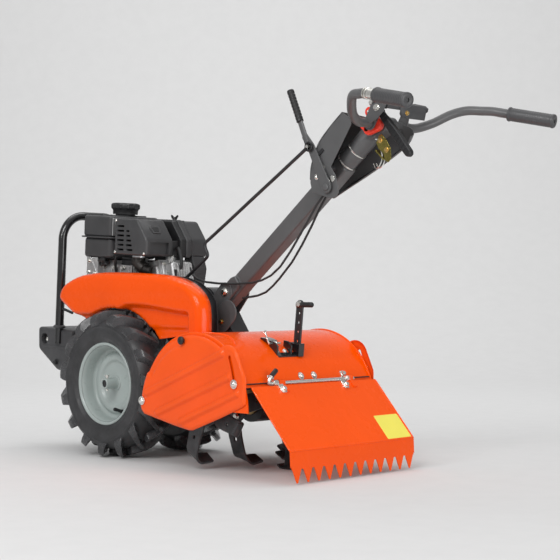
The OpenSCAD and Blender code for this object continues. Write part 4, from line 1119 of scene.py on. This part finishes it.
def handlebar():
    horn = [(868, 0, 862), (868, -40, 862), (868, -74, 862), (873, -108, 862), (892, -150, 876),
            (921, -186, 898), (950, -212, 908), (985, -229, 906), (1012, -239, 903.5),
            (1041, -247, 897), (1160, -278.5, 871)]
    for side, label in ((1, "left"), (-1, "right")):
        path = [(x, y * side, z) for x, y, z in horn]
        stands = ("handlebar",) if side > 0 else ()
        tube("handlebar_" + label, path, 11.4, MACHINE, GREY, "handlebar", 24, 6, stands_for=stands,
             slot="grey_paint")
        a, b = Vector((1053, -250.2 * side, 894.4)), Vector((1165, -280 * side, 870))
        length = (b - a).length
        profile = [(13, -2), (17.4, -1), (18, 1.5), (17.4, 4), (16.2, 6)]
        for i in range(16):
            z = 9 + i * (length - 20) / 16
            profile += [(16.2, z), (16.5, z + 1.4), (16.5, z + 4), (16.2, z + 5)]
        profile += [(16.4, length - 9), (17.2, length - 7), (17.2, length - 2.5), (15.5, length),
                    (9, length + 0.4), (7.5, length - 0.4), (5, length - 0.6), (4.4, length - 4),
                    (0.01, length - 4)]
        lathe("grip_" + label, profile, a, b - a, MACHINE, GRIP, "handlebar", 40,
              stands_for=("grips",) if side > 0 else (), slot="rubber", sharp=60)
        along = (b - a).normalized()
        if side > 0:
            sleeve = [(11.2, 0), (12.6, 1), (12.6, 29), (11.2, 30)]
            closed_lathe("grip_sleeve", sleeve, MACHINE @ facing(a - along * 30, along), ZINC,
                         "handlebar", 40)
            for back in (34, 42):
                closed_lathe("grip_clamp", [(11, -2), (14, -1.6), (14, 1.6), (11, 2)],
                             MACHINE @ facing(a - along * back, along), ZINC, "handlebar", 40)
        cheek = link((868, 862), 17, (888, 908), 9, 16)
        y = sorted((-62 * side, -58 * side))
        prism("bail_cheek", cheek, y[0], y[1], MACHINE, GREY, "handlebar", 1)
        disc("bail_pin", (888, -60 * side, 908), (0, -side, 0), 4, 19, MACHINE, ZINC, "handlebar")
        bolt("bail_nut", (888, -76 * side, 908), (0, -side, 0), 12, MACHINE, "handlebar",
             washer=False)
    prism("clutch_cheek", link((868, 862), 15, (893, 888), 8, 16), -57.5, -56.5, MACHINE, GREY,
          "handlebar", 0.5)
    disc("clutch_pin", (893, -60, 888), (0, 1, 0), 4, 20.5, MACHINE, ZINC, "handlebar")
    gusset = [(872, 872), (890, 904), (912, 906), (936, 900), (928, 884), (906, 866), (884, 858)]
    prism("horn_gusset", gusset, -82, -79.5, MACHINE, GREY, "handlebar", 0.8, 2)
    bolt("gusset_bolt", (908, -82, 894), (0, -1, 0), 13, MACHINE, "handlebar")


def clutch_lever():
    prism("clutch_blade", link((893, 888), 8, (906, 872), 9, 14), -54, -45, MACHINE, BLACK_PLASTIC,
          "clutch_lever", 2, stands_for=("clutch_lever",), slot="black_plastic")
    grip = [(899, 866), (912, 879), (950, 838), (989, 789), (990, 780), (983, 774), (974, 776),
            (934, 822)]
    prism("clutch_grip", grip, -57, -42, MACHINE, BLACK_PLASTIC, "clutch_lever", 4, 4)
    for i in range(9):
        t = 0.12 + i * 0.095
        x, z = 906 + (982 - 906) * t, 872 + (782 - 872) * t
        rib = [(x - 5.6, z - 3.6), (x - 4.4, z - 5), (x + 6.8, z + 4.4), (x + 5.4, z + 5.8)]
        prism("clutch_rib", rib, -58.2, -41, MACHINE, BLACK_PLASTIC, "clutch_lever", 0.8, 2)
    disc("clutch_boss", (893, -57, 888), (0, 1, 0), 9, 15, MACHINE, BLACK_PLASTIC, "clutch_lever",
         2)


def drive_bail():
    tip = (930, 900)
    cheek = [(879, 903), (880, 914), (888, 918), (900, 917), (932, 909), (940, 902), (938, 894),
             (930, 890), (914, 893), (894, 898)]
    for side, label in ((1, "left"), (-1, "right")):
        y = sorted((-75 * side, -71 * side))
        prism("bail_side_" + label, cheek, y[0], y[1], MACHINE, DARK_GREY, "drive_bail", 1.2, 2,
              stands_for=("drive_bail",) if side > 0 else (), slot="grey_paint")
    hoop = link(tip, 8.5, (tip[0] - 18, tip[1] + 4), 7, 14)
    prism("bail_crossbar", hoop, -71, 71, MACHINE, DARK_GREY, "drive_bail", 3, 3)
    line = [(912, 909), (926, 909), (937, 903), (940, 890), (938, 872)]
    end_line = [(x - 3, z + max(0, 890 - z) * 0.5) for x, z in line]
    visor = [[(x, y, z) for x, z in (end_line if y in (-30, 66) else line)]
             for y in (-30, -26, 20, 60, 66)]
    shell("bail_visor", visor, 2, MACHINE, DARK_GREY, "drive_bail")
    bolt("bail_bolt", (941, -10, 884), (1, 0, 0), 9, MACHINE, "drive_bail", BRASS)


def shift_lever():
    pivot, pin, neck, top = (735, 715), (683, 817), (663, 843), (611, 964)
    prism("shift_plate", link(pivot, 15, pin, 11, 18), -71, -66, MACHINE, GREY, "shift_lever", 1.2,
          2, stands_for=("shift_lever",), slot="grey_paint")
    prism("shift_plate_top", link(pin, 11, neck, 9, 16), -71, -66, MACHINE, GREY, "shift_lever",
          1.2, 2)
    disc("shift_pivot_pin", (735, -66, 715), (0, 1, 0), 5.9, 16, MACHINE, ZINC, "shift_lever")
    cap = [(8.5, 0), (9, 1.5), (8, 3.5), (5, 4.6), (0.01, 5)]
    lathe("shift_pivot_cap", cap, (735, -71, 715), (0, -1, 0), MACHINE, GREY, "shift_lever", 32)
    direction = Vector((top[0] - neck[0], 0, top[1] - neck[1]))
    length = direction.length
    start = Vector((neck[0], -68.5, neck[1])) - direction.normalized() * 26
    bar = [start, start + direction.normalized() * (length * 0.55)]
    tube("shift_bar", bar, 8.4, MACHINE, GREY, "shift_lever", 16, 0, squash=0.42, up=(0, 1, 0))
    profile = [(6, 42), (9, 43), (9.4, 46)]
    for i in range(9):
        z = 50 + i * 9
        profile += [(8.6, z), (9.3, z + 1), (9.3, z + 5), (8.6, z + 6)]
    profile += [(9.4, length - 4), (8.6, length - 0.6), (5, length + 0.6), (0.01, length + 0.8)]
    lathe("shift_grip", profile, (neck[0], -68.5, neck[1]), direction, MACHINE, BLACK_PLASTIC,
          "shift_lever", 28, sharp=60)
    disc("shift_hook_pin", (683, -71, 817), (0, -1, 0), 4, 13, MACHINE, ZINC, "shift_lever")
    bolt("shift_hook_nut", (683, -81, 817), (0, -1, 0), 9, MACHINE, "shift_lever", washer=False)


def shift_rod():
    eye = [(8, -1.5), (9, -3), (12, -3), (13, -1.5), (13, 1.5), (12, 3), (9, 3), (8, 1.5)]
    closed_lathe("shift_rod_eye", eye, MACHINE @ facing((683, -77, 817), (0, 1, 0)), SATIN_BLACK,
                 "shift_rod", 32)
    tube("shift_rod_bar", [(672, -77, 811), (650, -76, 798), (560, -71, 746), (470, -67, 694),
                           (380, -62, 642), (300, -57, 597), (287, -58, 588), (285, -58, 576),
                           (293, -57, 558), (285, -56, 545), (236, -53, 515), (187, -50, 486),
                           (152, -50, 465)], 4.5, MACHINE, SATIN_BLACK, "shift_rod", 14, 5,
         stands_for=("shift_rod",), slot="black_paint")


def lock_lever():
    disc("lock_boss", (846, -40, 893), (0, 1, 0), 12, 15, MACHINE, RED, "lock_lever", 2)
    paddle = [(836, 900), (846, 905), (856, 899), (872, 884), (890, 872), (892, 864), (884, 858),
              (874, 860), (858, 878), (838, 884)]
    prism("lock_paddle", paddle, -38, -28, MACHINE, RED, "lock_lever", 2.5, 3,
          stands_for=("lock_lever",), slot="red_plastic")
    bolt("lock_screw", (846, -40, 893), (0, -1, 0), 8, MACHINE, "lock_lever", dome=True,
         washer=False)


def red_covers():
    prism("lock_housing", link((856, 850), 15, (880, 859), 17, 20), -55, -39.5, MACHINE, RED,
          "chassis", 4, 4)
    prism("lock_housing_ear", link((838, 858), 7, (852, 850), 9, 12), -55, -44, MACHINE, RED,
          "chassis", 2.5, 3)


# ---------- tines ----------
TINE_X, TINE_Z = 430, 168  # the rotor's shaft


def blade(side, angle, y, reach, twist):
    """A blade whose flat arm leaves the plate at y and whose tip bends over by reach and twists."""
    sign = 1 if reach > 0 else -1
    bend = 22  # radius of the bend
    spine = [(44, y, 0), (62, y, -1), (84, y, 1), (104, y, 5)]
    for i in range(9):
        a = math.radians(i * 90 / 8)
        spine.append((126 + bend * math.sin(a), y + sign * bend * (1 - math.cos(a)), 10 + i * 1.4))
    far = y + reach
    spine += [(146, (spine[-1][1] + far) / 2, 23), (145.5, far, 24)]
    widths = [20, 24, 23, 22] + [21.5 - i * 0.2 for i in range(9)] + [19, 16]
    verts = []
    for i, (r, across, t) in enumerate(spine):
        before, after = spine[max(i - 1, 0)], spine[min(i + 1, len(spine) - 1)]
        dr, dy = after[0] - before[0], after[1] - before[1]
        n = math.hypot(dr, dy)
        nr, ny = -dy / n * 3, dr / n * 3
        turned = math.radians(twist) * ease(i, 5, 12)
        w, lean = widths[i] * math.cos(turned), widths[i] * math.sin(turned)
        verts += [(r + nr - lean, across + ny, t - w), (r + nr + lean, across + ny, t + w),
                  (r - nr + lean, across - ny, t + w), (r - nr - lean, across - ny, t - w)]
    faces = [(i * 4 + k, i * 4 + (k + 1) % 4, i * 4 + 4 + (k + 1) % 4, i * 4 + 4 + k)
             for i in range(len(spine) - 1) for k in range(4)]
    last = 4 * (len(spine) - 1)
    faces += [(0, 1, 2, 3), (last, last + 1, last + 2, last + 3)]
    place = sided(side) @ shift(TINE_X, 0, TINE_Z) @ turn(angle)
    made = piece("tine_blade", verts, faces, place, BLADE, "tines", sharp=60, slot="black_paint")
    hole = cutter(*prism_mesh(arc((92, 2), 5, 0, 360, 16)[:-1], y - 12, y + 12), place)
    cut(made, [hole])
    bevel(made, 1.2, 2, 60)


def tine_set(side):
    label = "left" if side < 0 else "right"
    place = sided(side)
    inner, outer = -94, -190
    for y in (inner, outer):
        rim_line = arc((TINE_X, TINE_Z), 52, 0, 360, 56)[:-1]
        stands = ("tines_" + label,) if y == inner else ()
        prism("tine_plate", rim_line, y - 4, y + 4, place, BLADE, "tines", 1.2, 2,
              stands_for=stands, slot="black_paint")
        hub = [(19, -12), (21, -10.5), (21, 10.5), (19, 12)]
        lathe("tine_hub", hub, (TINE_X, y, TINE_Z), (0, 1, 0), place, BLADE, "tines", 32)
        for x, z in arc((TINE_X, TINE_Z), 36, 30, 300, 3):
            bolt("tine_bolt", (x, y - 4, z), (0, -1, 0), 14, place, "tines", ZINC)
        disc("tine_pin", (TINE_X, y - 9, TINE_Z - 25), (0, 0, 1), 3.2, 50, place, ZINC, "tines")
    for i in range(4):
        blade(side, 84 + i * 90, inner, 58 if i % 2 == 0 else -52, 34)
        blade(side, 118 + i * 90, outer, 60 if i % 2 == 0 else -32, 8)


for build in (stake, stake_bracket, stake_latch, column, stem, console, handlebar, clutch_lever,
              drive_bail, shift_lever, shift_rod, lock_lever, red_covers):
    build()
for tine_side in (-1, 1):
    tine_set(tine_side)


# ---------- camera, light and floor ----------
def area_light(name, spot, target, size, power):
    """A soft rectangular light at spot that faces target."""
    data = bpy.data.lights.new(name, "AREA")
    data.shape = "RECTANGLE"
    data.size, data.size_y = size
    data.energy = power
    lamp = bpy.data.objects.new(name, data)
    lamp.location = spot
    lamp.rotation_euler = (Vector(target) - Vector(spot)).to_track_quat("-Z", "Y").to_euler()
    bpy.context.scene.collection.objects.link(lamp)


camera_data = bpy.data.cameras.new("camera")
camera_data.lens = 93.86
camera_data.sensor_width = 36
camera = bpy.data.objects.new("camera", camera_data)
camera.location = (2.7667, -2.7139, 0.4668)
camera.rotation_euler = (math.radians(90.314), 0, math.radians(44.3))
bpy.context.scene.collection.objects.link(camera)
bpy.context.scene.camera = camera


def backdrop():
    """A pale floor that curves up into a wall."""
    away = Vector((-0.698, 0.716, 0))
    across = Vector((0.716, 0.698, 0))
    start, radius = 3.2, 3
    line = [(-9, 0.0), (start, 0.0)]
    line += [(start + radius * math.sin(a), radius * (1 - math.cos(a)))
             for a in [math.radians(6 * i) for i in range(1, 16)]]
    line.append((start + radius, 9))
    below = 0.0005  # keeps the paper clear of the feet
    verts = [tuple(away * d + across * w + Vector((0, 0, h - below))) for d, h in line
             for w in (-12, 12)]
    faces = [(i * 2, i * 2 + 1, i * 2 + 3, i * 2 + 2) for i in range(len(line) - 1)]
    mesh = bpy.data.meshes.new("backdrop")
    mesh.from_pydata(verts, [], faces)
    mesh.polygons.foreach_set("use_smooth", [True] * len(faces))
    paper = finish("backdrop_paper", (0.72, 0.72, 0.72), 0.9, shade=0.01, grain=60, depth=0.0001)
    mesh.materials.append(paper)
    made = bpy.data.objects.new("backdrop", mesh)
    bpy.context.scene.collection.objects.link(made)


backdrop()
area_light("key_light", (1.6, -3.6, 3.4), (0, 0, 0.3), (1.8, 1.8), 78)
area_light("fill_light", (3.9, -0.6, 0.8), (0, 0, 0.45), (2.4, 1.4), 44)
area_light("top_light", (-0.4, 0.4, 4.2), (0, 0, 0.4), (3.5, 3.5), 36)
area_light("wall_light", (-1.2, 1.2, 4.6), (-4.2, 4.3, 1.6), (5, 2), 124)
area_light("strip_light", (0.2, -3.4, 1.9), (0, 0, 0.4), (0.12, 1.8), 26)
world = bpy.data.worlds.new("studio")
world.use_nodes = True
world.node_tree.nodes["Background"].inputs["Color"].default_value = (0.4, 0.4, 0.4, 1)
bpy.context.scene.world = world
bpy.context.scene.view_settings.view_transform = "Standard"
